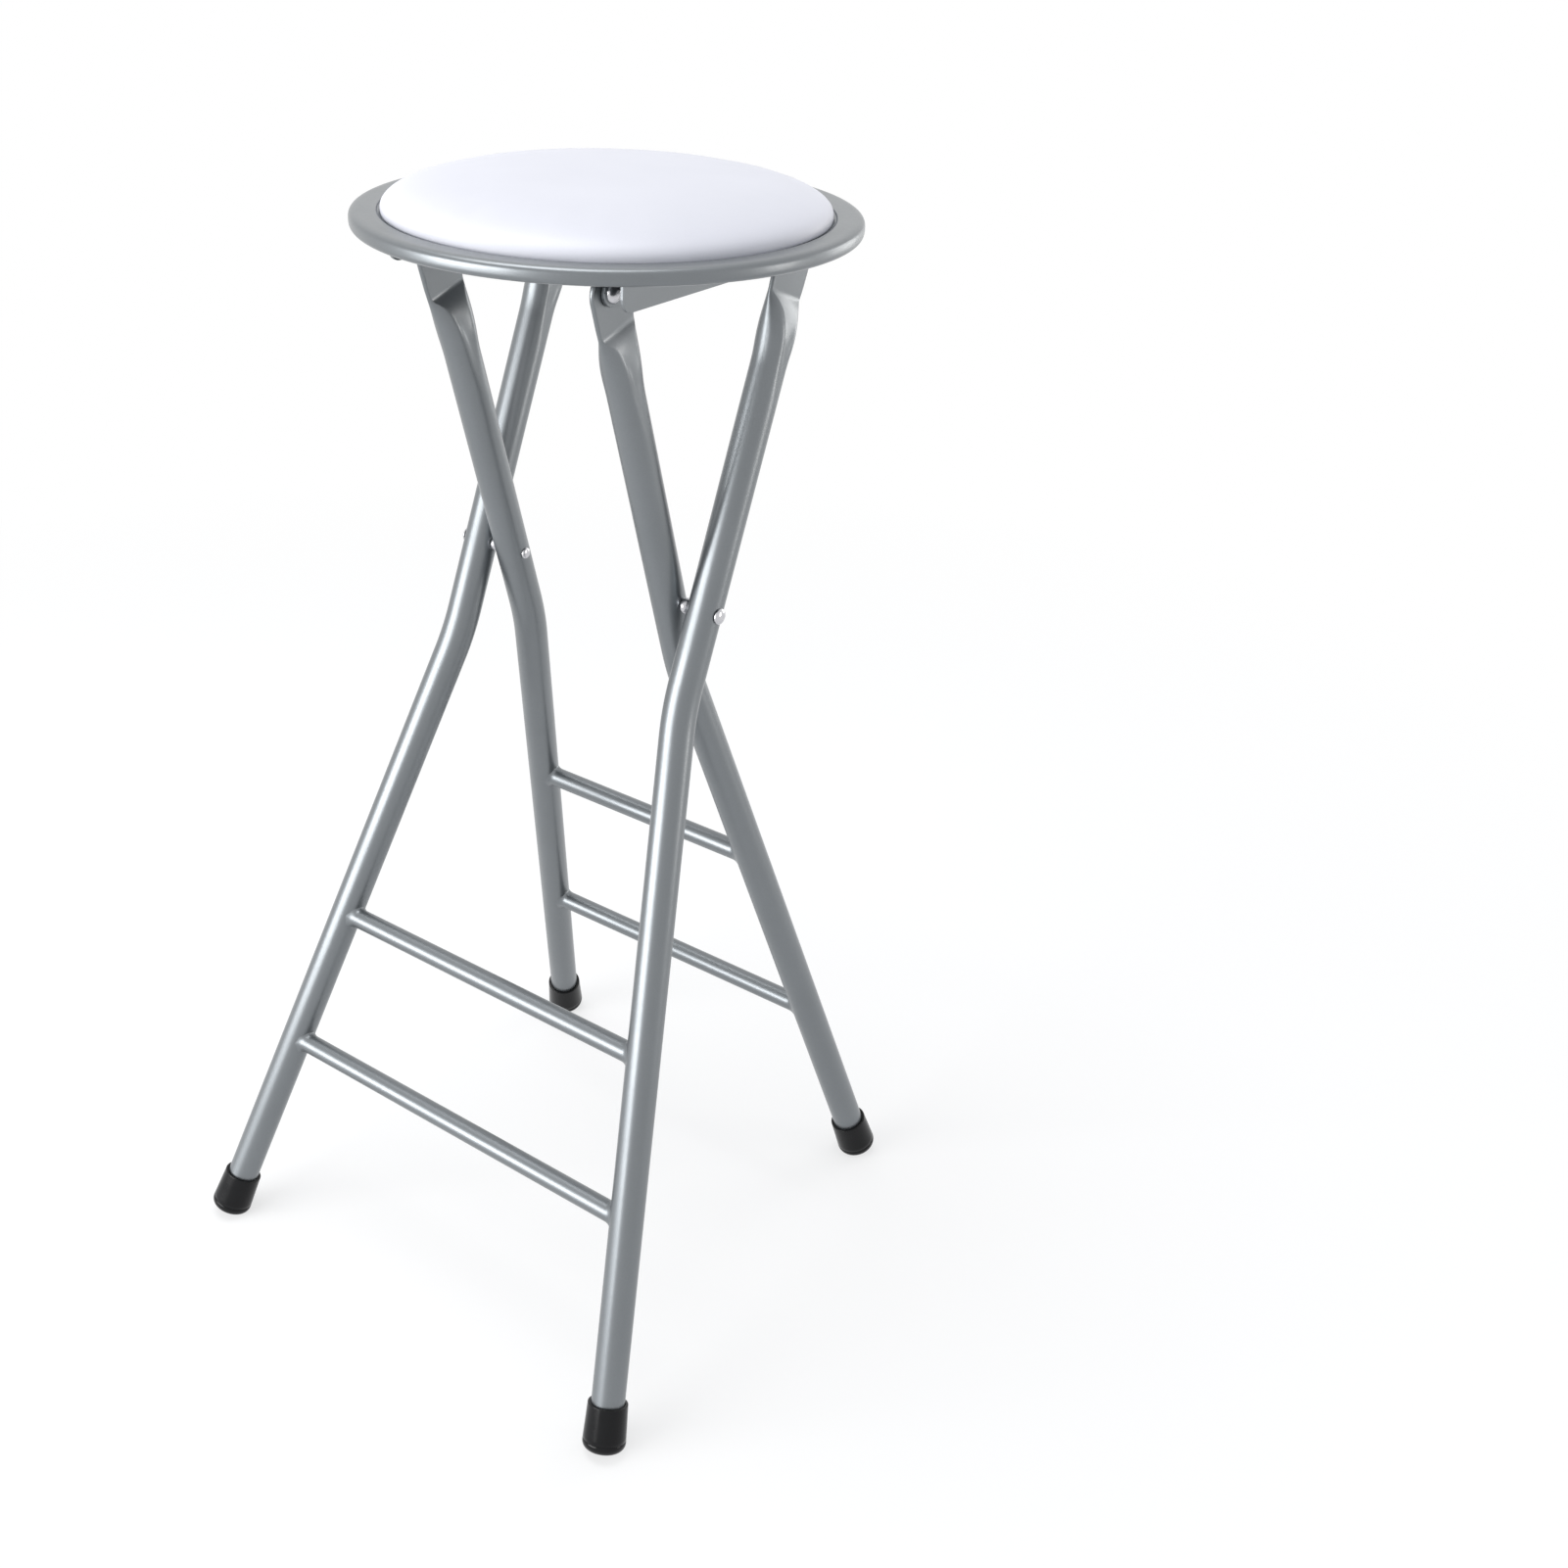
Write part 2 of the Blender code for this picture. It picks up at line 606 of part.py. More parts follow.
# ---- brackets: folded angles under the base plate
top = z0 - GAP
bottom = z0 - WEB_DEPTH
for word, side in SIDES:
    bm = bmesh.new()
    section = [(FLANGE_IN, top - SHEET), (FLANGE_IN, top)]
    bend = BRACKET_BEND
    section += arc(WEB_OUT - bend, top - bend, bend, 90, 0, 4)
    section += [(WEB_OUT, bottom), (WEB_IN, bottom)]
    bend -= SHEET
    section += arc(WEB_IN - bend, top - SHEET - bend, bend, 0, 90, 3)
    prism(bm, section, lambda a, b, h: Vector((side * a, h, b)), WEB_Y[0], WEB_Y[1])
    obj = add(f"bracket_{word}", bm, SILVER, "seat_axis", smooth=False)
    tools = bmesh.new()
    for y, z in (side_point(PIVOT_A), side_point(PIVOT_L)):
        rod(tools, (side * (WEB_IN - 3), y, z), (side * (WEB_OUT + 3), y, z), HOLE_R)
    if side < 0:
        rod(tools, (side * (WEB_IN - 3), LOCK.x, LOCK.y), (side * (WEB_OUT + 3), LOCK.x, LOCK.y),
            PLUNGER_R + GAP)
    for end, sign in ((WEB_Y[0], -1), (WEB_Y[1], 1)):
        r = WEB_CORNER
        nook = [(end - sign * r + sign * r * math.sin(math.radians(t)),
                 bottom + r - r * math.cos(math.radians(t))) for t in range(0, 91, 15)]
        nook += [(end + sign * 2, bottom + r), (end + sign * 2, bottom - 2), (end - sign * r, bottom - 2)]
        prism(tools, nook, lambda a, b, h: Vector((side * h, a, b)), WEB_IN - 2, WEB_OUT + 2)
        nook = [(FLANGE_IN + r - r * math.cos(math.radians(t)),
                 end - sign * r + sign * r * math.sin(math.radians(t))) for t in range(90, -1, -15)]
        nook = [(FLANGE_IN + r, end + sign * 2)] + nook + [
            (FLANGE_IN - 2, end - sign * r), (FLANGE_IN - 2, end + sign * 2)]
        prism(tools, nook, lambda a, b, h: Vector((side * a, b, h)), top - SHEET - 2, top + 2)
    cut(obj, tools, "seat_axis")

# ---- links: flat bars with one jog, between bracket and inner frame
LINK_LEN = (side_point(PIVOT_B) - _l).length
for word, side in SIDES:
    axis = f"link_{word}_axis"
    along = Vector((0, _open.x, _open.y))
    across = Vector((0, -_open.y, _open.x))
    bm = bmesh.new()
    stations = [(-LINK_HW * math.cos(math.radians(t)), LINK_HW * math.sin(math.radians(t)))
                for t in (10, 30, 50, 70, 90)]
    ends = [(s, h) for s, h in stations]
    ends += [(JOG[0], LINK_HW), (JOG[1], LINK_HW)]
    ends += [(LINK_LEN - s, h) for s, h in reversed(stations)]
    rings = []
    for s, h in ends:
        if s <= JOG[0]:
            x = LINK_TOP_X
        elif s >= JOG[1]:
            x = LINK_LOW_X
        base = Vector((side * x, _l.x, _l.y)) + along * s
        rings.append([base + Vector((side * LINK_T / 2 * p, 0, 0)) + across * (h * q)
                      for p, q in ((-1, -1), (1, -1), (1, 1), (-1, 1))])
    loft(bm, rings)
    obj = add(f"link_{word}", bm, SILVER, axis, smooth=False)
    tools = bmesh.new()
    rod(tools, (side * (LINK_TOP_X - 4), _l.x, _l.y), (side * (LINK_TOP_X + 4), _l.x, _l.y), HOLE_R)
    y, z = side_point(PIVOT_B)
    rod(tools, (side * (LINK_LOW_X - 4), y, z), (side * (LINK_LOW_X + 4), y, z), HOLE_R)
    if side < 0:
        rod(tools, (side * (LINK_TOP_X - 4), LOCK.x, LOCK.y), (side * (LINK_TOP_X + 4), LOCK.x, LOCK.y),
            PLUNGER_R + GAP)
    cut(obj, tools, axis)

# ---- rivets of the fold
for word, side in SIDES:
    y, z = side_point(PIVOT_A)
    rivet(f"seat_rivet_{word}", y, z, side, WEB_IN - GAP, FLAT_A_X + FLAT_T / 2 + GAP, "seat_axis")
    y, z = side_point(PIVOT_L)
    rivet(f"bracket_rivet_{word}", y, z, side, LINK_TOP_X - LINK_T / 2 - GAP, WEB_OUT + GAP, "seat_axis")
    y, z = side_point(PIVOT_B)
    rivet(f"link_rivet_{word}", y, z, side, LINK_LOW_X - LINK_T / 2 + HALF_PIN_IN,
          LINK_LOW_X + LINK_T / 2 + GAP, f"link_{word}_axis", tail=None)
    rivet(f"leg_rivet_{word}", y, z, side, FLAT_B_X - FLAT_T / 2 - GAP,
          FLAT_B_X + FLAT_T / 2 - HALF_PIN_IN, "inner_frame_axis", head=None)

# ---- lock: hat-shaped housing, plunger, spring and pull ring on the left bracket
ly, lz = LOCK
web = WEB_OUT + GAP
t = LOCK_SHEET
h, f = LOCK_HALF, LOCK_FOOT
hat = [(web, ly - h - f), (web + t, ly - h - f), (web + t, ly - h), (CROWN_X, ly - h),
       (CROWN_X, ly + h), (web + t, ly + h), (web + t, ly + h + f), (web, ly + h + f),
       (web, ly + h - t), (CROWN_X - t, ly + h - t), (CROWN_X - t, ly - h + t), (web, ly - h + t)]
bm = bmesh.new()
prism(bm, hat, lambda a, b, c: Vector((-a, b, c)), lz - LOCK_W / 2, lz + LOCK_W / 2)
housing = add("lock_housing", bm, SILVER, "seat_axis", smooth=False)
tools = bmesh.new()
rod(tools, (-(CROWN_X - 5), ly, lz), (-(CROWN_X + 5), ly, lz), PLUNGER_R + GAP)
cut(housing, tools, "seat_axis")

collar = WEB_OUT + GAP + COLLAR_OUT
bm = bmesh.new()
p = PLUNGER_R
profile = [(0.0, WEB_IN), (p - 0.6, WEB_IN), (p, WEB_IN + 0.8), (p, collar), (COLLAR_R, collar),
           (COLLAR_R, collar + COLLAR_T), (p, collar + COLLAR_T), (p, RING_X + 2.6),
           (p - 0.9, RING_X + 3.6), (0.0, RING_X + 3.6)]
revolve(bm, profile, (0, ly, lz), (-1, 0, 0), 16)
pin = add("lock_pin", bm, ZINC, "lock_pin_axis")
tools = bmesh.new()
rod(tools, (-RING_X, ly - 5, lz), (-RING_X, ly + 5, lz), RING_WIRE + RING_EYE, 14)
cut(pin, tools, "lock_pin_axis")

bm = bmesh.new()
start = collar + COLLAR_T + GAP + SPRING_WIRE
count = SPRING_TURNS * 9
rings = []
for k in range(count + 1):
    a = math.tau * k / 9
    rise = SPRING_PITCH / math.tau
    centre = Vector((-(start + rise * a), ly + SPRING_R * math.cos(a), lz + SPRING_R * math.sin(a)))
    tangent = Vector((-rise, -SPRING_R * math.sin(a), SPRING_R * math.cos(a))).normalized()
    radial = Vector((0, math.cos(a), math.sin(a)))
    other = tangent.cross(radial).normalized()
    rings.append([centre + SPRING_WIRE * (math.cos(math.tau * q / 6) * radial
                                          + math.sin(math.tau * q / 6) * other) for q in range(6)])
loft(bm, rings)
add("lock_spring", bm, SPRING, "lock_pin_axis")
rise = SPRING_PITCH * SPRING_R / math.hypot(SPRING_R, SPRING_PITCH / math.tau)
print("spring gap to itself, mm:", round(rise - 2 * SPRING_WIRE, 3))

bm = bmesh.new()
steps = 28
loops = []
for k in range(steps):
    a = math.tau * k / steps
    out = Vector((0, math.sin(a), math.cos(a)))
    centre = Vector((-RING_X, ly, lz - RING_R)) + out * RING_R
    loops.append([bm.verts.new(centre + RING_WIRE * (math.cos(math.tau * q / 8) * out
                  + math.sin(math.tau * q / 8) * Vector((1, 0, 0)))) for q in range(8)])
for k in range(steps):
    one, two = loops[k], loops[(k + 1) % steps]
    for q in range(8):
        bm.faces.new((one[q], one[(q + 1) % 8], two[(q + 1) % 8], two[q]))
add("pull_ring", bm, ZINC, "pull_ring_axis")
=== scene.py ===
"""Folding stool, open, in silver paint with a white vinyl cushion. Lengths in millimetres until
a mesh is finished. Shapes are laid out from the seat centre, as in the part's own frame."""
import math

import bmesh
import bpy
from mathutils import Matrix, Vector, noise


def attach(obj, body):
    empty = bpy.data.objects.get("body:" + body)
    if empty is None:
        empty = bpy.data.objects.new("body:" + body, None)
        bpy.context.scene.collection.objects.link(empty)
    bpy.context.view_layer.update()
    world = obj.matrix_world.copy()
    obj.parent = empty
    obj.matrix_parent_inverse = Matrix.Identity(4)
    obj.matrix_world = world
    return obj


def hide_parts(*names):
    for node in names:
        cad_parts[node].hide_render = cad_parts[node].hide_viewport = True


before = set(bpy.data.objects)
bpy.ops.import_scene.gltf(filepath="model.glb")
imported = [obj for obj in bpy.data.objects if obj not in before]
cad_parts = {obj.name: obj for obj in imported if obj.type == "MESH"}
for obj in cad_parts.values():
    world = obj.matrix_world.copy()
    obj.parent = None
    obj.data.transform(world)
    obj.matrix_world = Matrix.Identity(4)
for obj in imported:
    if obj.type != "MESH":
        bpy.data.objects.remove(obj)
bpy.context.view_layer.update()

MM = 0.001
SEAT_PLACE = Vector((0.0, 33.9, 0.0))
SIDES = (("left", -1), ("right", 1))

# seat
SEAT_Z = 722.0
RIM_R = 150.3
ROLL_W, ROLL_H, ROLL_SQUARE = 6.7, 4.8, 0.64
CUSHION_R = 132.2
CUSHION_WIDE = 6.0            # height over SEAT_Z where the cushion is widest
CROWN = 18.0                  # from there to the cushion's top
LIP_R = CUSHION_R + 1.6
PLATE_R = 134.0
FLANGE_R = 122.0
FLANGE_TOP = SEAT_Z + 3.1
BOARD_R = 127.0
BOARD_TOP = FLANGE_TOP + 0.3 + 8.6
SCREW_RING_R = 118.5
SCREW_HEAD, SCREW_R = (4.5, 2.6), 2.0
CROSS_SLOT = (4.6, 0.95, 2.4)     # one arm of a screw's cross

# frames
R = 11.1                      # leg tube
RUNG_R = 7.0
LEG_END = 9.0                 # a leg ends this far short of its floor point
FLAT_T = 3.4
FLAT_CORNER = 14.0
FLAT_ABOVE, FLAT_BELOW, FLAT_FADE = 13.0, 25.0, 21.0
BEND_R = 190.0
PIVOT_A, PIVOT_B, PIVOT_L = (66.0, 19.0), (-80.0, 18.0), (-2.5, 15.0)
WEB_IN, WEB_OUT = 84.7, 86.7
GAP = 0.3
FLAT_A_X = WEB_OUT + GAP + FLAT_T / 2
FLAT_B_X = 64.0
LINK_T = 2.5
LINK_TOP_X = WEB_IN - GAP - LINK_T / 2
LINK_LOW_X = FLAT_B_X + FLAT_T / 2 + GAP + LINK_T / 2

# pressing of a leg's top: lengths along the leg are in run-outs of FLAT_FADE
ARCH, BULGE = 0.30, 0.25      # how far the run-out starts early in its middle, and its faces round
DENT, DENT_WIDE = 0.20, 0.34  # valley that the pressing leaves down each face
DENT_END = 3.2                # its length
DENT_IN, DENT_OUT = (-0.1, 0.7), (0.5, DENT_END)      # where it deepens and where it dies away
NARROW = (-0.7, 2.0)          # where the flat's width becomes the tube's
RUN_START, RUN_CROWD = -0.45, 1.4     # first row of the run-out, and how its rows crowd there
RISE_RUN, RISE_SOFT = 1.7, 0.05       # length over which the flat opens, and its rounded ends

# rungs: how far the weld stands out at each distance from the leg
FLARE = ((0.0, 1.9), (0.35, 1.45), (0.8, 1.05), (1.4, 0.65), (2.2, 0.3), (3.2, 0.08), (4.4, 0.0))
WELD_IN = 0.15                # a rung's end inside the leg's surface
BEADS, BEAD_SHARE = 9, 0.16   # ripples round the weld, and their share of its height

# rivets and pins: radius and height of their heads and tails
RIVET_R = 3.0
HEAD, TAIL = (6.0, 3.0), (3.9, 1.6)
PIN_HEAD, PIN_TAIL = (5.2, 2.6), (3.7, 1.8)
DOME_EDGE = 0.35              # straight edge under a dome
MARK_SHARE, MARK_EDGE, MARK_DEEP = 0.30, 0.12, 0.30   # tool mark in the middle of a head
SEATED = 0.05                 # a head or tail reaches this far into its face
HALF_PIN_IN, PIN_SEATED = 0.1, 0.1
SPACER_R, SPACER_CROWN, SPACER_BORE, SPACER_GAP = 5.2, 1.3, 3.3, 0.1

# lock
LOCK_REACH = 24.0
LOCK_DEPTH, RING_OUT = 20.0, 8.0      # housing out from the bracket, ring out from the housing
COLLAR_OUT, COLLAR_T = 3.5, 1.3
RING_X = WEB_OUT + GAP + LOCK_DEPTH + RING_OUT
RING_R, RING_WIRE = 9.5, 0.8
SPRING_R, SPRING_WIRE, SPRING_PITCH, SPRING_TURNS = 3.9, 0.5, 1.6, 5
SPRING_START = WEB_OUT + GAP + COLLAR_OUT + COLLAR_T + GAP + SPRING_WIRE

# feet
TIP_R, TIP_TOP_R, TIP_H, TIP_END, TIP_EDGE = 14.4, 13.3, 34.0, 2.2, 5.5
TAPER_FROM = 8.0
GROOVE_H, GROOVE_HALF, GROOVE_DEEP = 9.2, 0.5, 0.32
MOUTH_R = 0.6                 # rolled edge of a tip's mouth

# cushion
NET = 88                      # squares across each of the cover's two nets
SIDE_PART, SIDE_H = 0.075, 4.0        # the cushion's side: share of the profile, and height
CROWN_POWER = 0.55            # how full the crown is
TUCK, TUCK_FROM, TUCK_POWER = 2.4, 0.45, 1.5          # how the side draws in towards the hem
HEM_FROM, HEM_SHARE = 0.94, 0.06      # shares of the radius: flat underside, then up to the hem
CLOTH_FRAMES = 20
SWELL_CAP = 0.0022            # metres that a point may move in the simulation
HEM_Z = (SEAT_Z + 3.4) * MM   # in metres, the cover is pinned below this
SMOOTHINGS = 6                # passes over the blown cover
PULL, PULL_WAVES = 0.00022, 9.0       # uneven pull of the cover: metres, and how fine it is
GRIP_R = LIP_R - 0.9          # the cover stays inside this

# sheet metal, floor and backdrop
SOFT_EDGE = 0.35              # bevel on the sheet metal's edges
FLOOR_R, FLOOR_UNDER = 6.0, 0.0005     # metres: size, and how far under the feet
FLOOR_NEAR, FLOOR_FAR = 0.6, 1.6       # metres from the stool where the shadow fades out
SHADOW_SHARE, FLOOR_GLOW = 0.36, 0.66  # the floor's white that takes shadow, and that which doesn't


# ---- materials: colour, gloss and relief all vary over the surface
class Nodes:
    """Short hand for wiring one material."""

    def __init__(self, name):
        self.mat = bpy.data.materials.new(name)
        self.mat.use_nodes = True
        self.tree = self.mat.node_tree
        self.shader = self.tree.nodes["Principled BSDF"]
        self.place = self.new("ShaderNodeTexCoord").outputs["Object"]

    def new(self, kind, **values):
        node = self.tree.nodes.new(kind)
        for key, value in values.items():
            setattr(node, key, value)
        return node

    def link(self, out, socket):
        self.tree.links.new(out, socket)

    def noise(self, scale, detail=2.0, stretch=None):
        node = self.new("ShaderNodeTexNoise")
        node.inputs["Scale"].default_value = scale
        node.inputs["Detail"].default_value = detail
        source = self.place
        if stretch:
            mapping = self.new("ShaderNodeMapping")
            mapping.inputs["Scale"].default_value = stretch
            self.link(source, mapping.inputs["Vector"])
            source = mapping.outputs["Vector"]
        self.link(source, node.inputs["Vector"])
        return node.outputs["Fac"]

    def cells(self, scale, feature="F1", out="Distance"):
        node = self.new("ShaderNodeTexVoronoi", feature=feature)
        node.inputs["Scale"].default_value = scale
        self.link(self.place, node.inputs["Vector"])
        return node.outputs[out]

    def ranged(self, value, low, high, start=0.3, end=0.7):
        node = self.new("ShaderNodeMapRange")
        self.link(value, node.inputs["Value"])
        for key, number in (("From Min", start), ("From Max", end),
                            ("To Min", low), ("To Max", high)):
            node.inputs[key].default_value = number
        return node.outputs["Result"]

    def mix(self, factor, one, two):
        node = self.new("ShaderNodeMix", data_type="RGBA")
        sockets = (node.inputs[0], node.inputs[6], node.inputs[7])     # factor, A and B as colours
        for socket, value in zip(sockets, (factor, one, two)):
            if isinstance(value, (int, float)):
                socket.default_value = value
            elif isinstance(value, tuple):
                socket.default_value = (*value, 1.0)
            else:
                self.link(value, socket)
        return node.outputs[2]

    def math(self, kind, one, two):
        node = self.new("ShaderNodeMath", operation=kind)
        for socket, value in zip(node.inputs, (one, two)):
            if isinstance(value, (int, float)):
                socket.default_value = value
            else:
                self.link(value, socket)
        return node.outputs[0]

    def bump(self, height, strength, distance):
        node = self.new("ShaderNodeBump")
        node.inputs["Strength"].default_value = strength
        node.inputs["Distance"].default_value = distance
        self.link(height, node.inputs["Height"])
        if self.shader.inputs["Normal"].links:
            self.link(self.shader.inputs["Normal"].links[0].from_socket, node.inputs["Normal"])
        self.link(node.outputs["Normal"], self.shader.inputs["Normal"])

    def edges(self, start=0.52, end=0.62):
        """0 on plain faces, 1 on the sharpest outer edges."""
        pointed = self.new("ShaderNodeNewGeometry").outputs["Pointiness"]
        return self.ranged(pointed, 0.0, 1.0, start, end)

    def finish(self, colour, roughness, metallic=0.0, **constants):
        self.link(colour, self.shader.inputs["Base Color"])
        self.link(roughness, self.shader.inputs["Roughness"])
        self.shader.inputs["Metallic"].default_value = metallic
        for key, value in constants.items():
            self.shader.inputs[key.replace("_", " ")].default_value = value
        return self.mat


def tint(colour, k):
    return tuple(min(1.0, c * k) for c in colour)


def silver_paint():
    """Metallic paint: fine flakes, faint orange peel, darker and duller in broad clouds."""
    n = Nodes("silver_paint")
    base = (0.193, 0.208, 0.220)
    flakes = n.cells(3200.0, out="Color")
    flake = n.new("ShaderNodeSeparateColor")
    n.link(flakes, flake.inputs["Color"])
    colour = n.mix(n.ranged(flake.outputs[0], 0.0, 1.0, 0.0, 1.0),
                   tint(base, 0.96), tint(base, 1.04))
    clouds = n.noise(26.0, 4.0)
    colour = n.mix(n.ranged(clouds, 0.0, 0.3), colour, tint(base, 0.88))
    colour = n.mix(n.math("MULTIPLY", n.edges(), 0.3), colour, tint(base, 1.5))
    rough = n.math("ADD", n.ranged(clouds, 0.35, 0.40), n.ranged(n.noise(300.0), -0.01, 0.015))
    n.bump(n.noise(160.0, 1.0), 0.015, 0.0001)
    return n.finish(colour, rough, 0.85, Coat_Weight=0.3, Coat_Roughness=0.18)


def bright_zinc():
    """Zinc plate: blue-white, faint mottling, drawn lines, polished outer edges."""
    n = Nodes("bright_zinc")
    base = (0.58, 0.58, 0.60)
    cloud = n.noise(180.0, 5.0)
    lines = n.noise(500.0, 3.0, (0.15, 1.0, 1.0))
    colour = n.mix(n.ranged(cloud, 0.0, 0.6), base, (0.47, 0.47, 0.50))
    colour = n.mix(n.math("MULTIPLY", n.edges(), 0.4), colour, (0.75, 0.75, 0.76))
    rough = n.math("ADD", n.ranged(cloud, 0.16, 0.30), n.ranged(lines, -0.03, 0.05))
    n.bump(lines, 0.08, 0.00005)
    return n.finish(colour, rough, 1.0)


def white_vinyl():
    """Smooth vinyl: a very fine pebbled grain, soft gloss, hardly visible shade clouds."""
    n = Nodes("white_vinyl")
    base = (0.755, 0.76, 0.82)
    grain = n.cells(1150.0, "SMOOTH_F1")
    clouds = n.noise(9.0, 3.0)
    colour = n.mix(n.ranged(clouds, 0.0, 1.0), base, tint(base, 0.965))
    colour = n.mix(n.ranged(grain, 0.0, 0.10, 0.45, 0.8), colour, tint(base, 0.8))
    rough = n.math("ADD", n.ranged(clouds, 0.42, 0.50), n.ranged(grain, 0.03, -0.03, 0.1, 0.6))
    n.bump(grain, 0.10, 0.00012)
    n.bump(n.noise(55.0, 2.0), 0.10, 0.0004)
    return n.finish(colour, rough, 0.0, Specular_IOR_Level=0.3,
                    Coat_Weight=0.05, Coat_Roughness=0.3)


def black_rubber():
    """Moulded rubber: near black, a smooth skin with fine mould texture, greyer on rubbed edges."""
    n = Nodes("black_rubber")
    base = (0.006, 0.0063, 0.007)
    skin = n.noise(700.0, 3.0)
    clouds = n.noise(60.0, 4.0)
    colour = n.mix(n.ranged(clouds, 0.0, 0.5), base, (0.010, 0.010, 0.011))
    colour = n.mix(n.math("MULTIPLY", n.edges(0.53, 0.66), 0.5), colour, (0.028, 0.028, 0.029))
    rough = n.math("ADD", n.ranged(clouds, 0.16, 0.26), n.ranged(skin, -0.02, 0.03))
    n.bump(skin, 0.05, 0.0001)
    return n.finish(colour, rough, 0.0, Specular_IOR_Level=0.18)


def seat_board():
    """Particle board: pressed chips of several browns."""
    n = Nodes("seat_board")
    chips = n.cells(420.0, out="Color")
    chip = n.new("ShaderNodeSeparateColor")
    n.link(chips, chip.inputs["Color"])
    colour = n.mix(chip.outputs[0], (0.30, 0.20, 0.12), (0.55, 0.41, 0.27))
    colour = n.mix(n.ranged(n.noise(35.0), 0.0, 0.4), colour, (0.36, 0.25, 0.16))
    n.bump(chip.outputs[1], 0.3, 0.0003)
    return n.finish(colour, n.ranged(chip.outputs[2], 0.7, 0.9, 0.0, 1.0))


def spring_wire():
    """Drawn spring steel: dark, with fine lines round the coil."""
    n = Nodes("spring_wire")
    lines = n.noise(1500.0, 2.0, (1.0, 0.2, 0.2))
    colour = n.mix(n.ranged(lines, 0.0, 1.0), (0.30, 0.30, 0.31), (0.40, 0.40, 0.42))
    return n.finish(colour, n.ranged(lines, 0.25, 0.4), 1.0)


MATS = {make.__name__: make() for make in
        (silver_paint, bright_zinc, white_vinyl, black_rubber, seat_board, spring_wire)}


# ---- mesh helpers
def to_mesh(name, bm):
    """Moves a bmesh from millimetres about the seat centre into the frame's metres."""
    bmesh.ops.recalc_face_normals(bm, faces=bm.faces)
    placed = Matrix.Scale(MM, 4) @ Matrix.Translation(SEAT_PLACE)
    bmesh.ops.transform(bm, matrix=placed, verts=bm.verts)
    mesh = bpy.data.meshes.new(name)
    bm.to_mesh(mesh)
    bm.free()
    return mesh


def build(name, bm, slot, body, replaces=(), angle=30.0):
    """Turns a bmesh in millimetres from the seat centre into a piece that rides on a body."""
    bmesh.ops.remove_doubles(bm, verts=bm.verts, dist=1e-4)
    mesh = to_mesh(name, bm)
    mesh.materials.append(MATS[slot])
    mesh.shade_smooth()
    if angle:
        mesh.set_sharp_from_angle(angle=math.radians(angle))
    obj = bpy.data.objects.new(name, mesh)
    bpy.context.scene.collection.objects.link(obj)
    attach(obj, body)
    if replaces:
        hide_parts(*replaces)
    return obj


def loft(bm, rings, closed=False):
    """Skins a row of rings. Closed joins the last to the first, otherwise both ends are capped."""
    loops = [[bm.verts.new(p) for p in ring] for ring in rings]
    pairs = list(zip(loops, loops[1:])) + ([(loops[-1], loops[0])] if closed else [])
    for one, two in pairs:
        n = len(one)
        for i in range(n):
            bm.faces.new((one[i], one[(i + 1) % n], two[(i + 1) % n], two[i]))
    if not closed:
        bm.faces.new(list(reversed(loops[0])))
        bm.faces.new(loops[-1])


def circle_points(centre, radius, one, two, steps):
    """Points round a centre, from one direction towards the other."""
    turns = [math.tau * k / steps for k in range(steps)]
    return [centre + radius * (math.cos(a) * one + math.sin(a) * two) for a in turns]


def square_to(direction):
    """The direction as a unit vector, and two more square to it."""
    d = Vector(direction).normalized()
    side = d.cross(Vector((0, 1, 0)) if abs(d.y) < 0.9 else Vector((1, 0, 0))).normalized()
    return d, side, d.cross(side)


def revolve(bm, profile, origin, direction, steps, closed=False):
    """Turns (radius, height) points about an axis. Radius 0 is a pole."""
    d, u, v = square_to(direction)
    o = Vector(origin)
    rows = []
    for radius, height in profile:
        count = 1 if radius < 1e-9 else steps
        points = circle_points(o + d * height, radius, u, v, steps)
        rows.append([bm.verts.new(p) for p in points[:count]])
    for one, two in list(zip(rows, rows[1:])) + ([(rows[-1], rows[0])] if closed else []):
        for i in range(steps):
            j = (i + 1) % steps
            if len(one) == 1:
                bm.faces.new((one[0], two[i], two[j]))
            elif len(two) == 1:
                bm.faces.new((one[i], one[j], two[0]))
            else:
                bm.faces.new((one[i], one[j], two[j], two[i]))


def arc(cx, cy, radius, start, end, steps):
    turns = [math.radians(start + (end - start) * k / steps) for k in range(steps + 1)]
    return [(cx + radius * math.cos(a), cy + radius * math.sin(a)) for a in turns]


def dome(radius, height, base, up, steps=10):
    """Dome from its short straight edge to the pole."""
    out = [(radius, base), (radius, base + up * DOME_EDGE)]
    for k in range(1, steps + 1):
        a = math.pi / 2 * k / steps
        rise = DOME_EDGE + (height - DOME_EDGE) * math.sin(a)
        out.append((radius * math.cos(a), base + up * rise))
    out[-1] = (0.0, base + up * height)
    return out


def side_point(pivot):
    return Vector((pivot[0], SEAT_Z - pivot[1]))


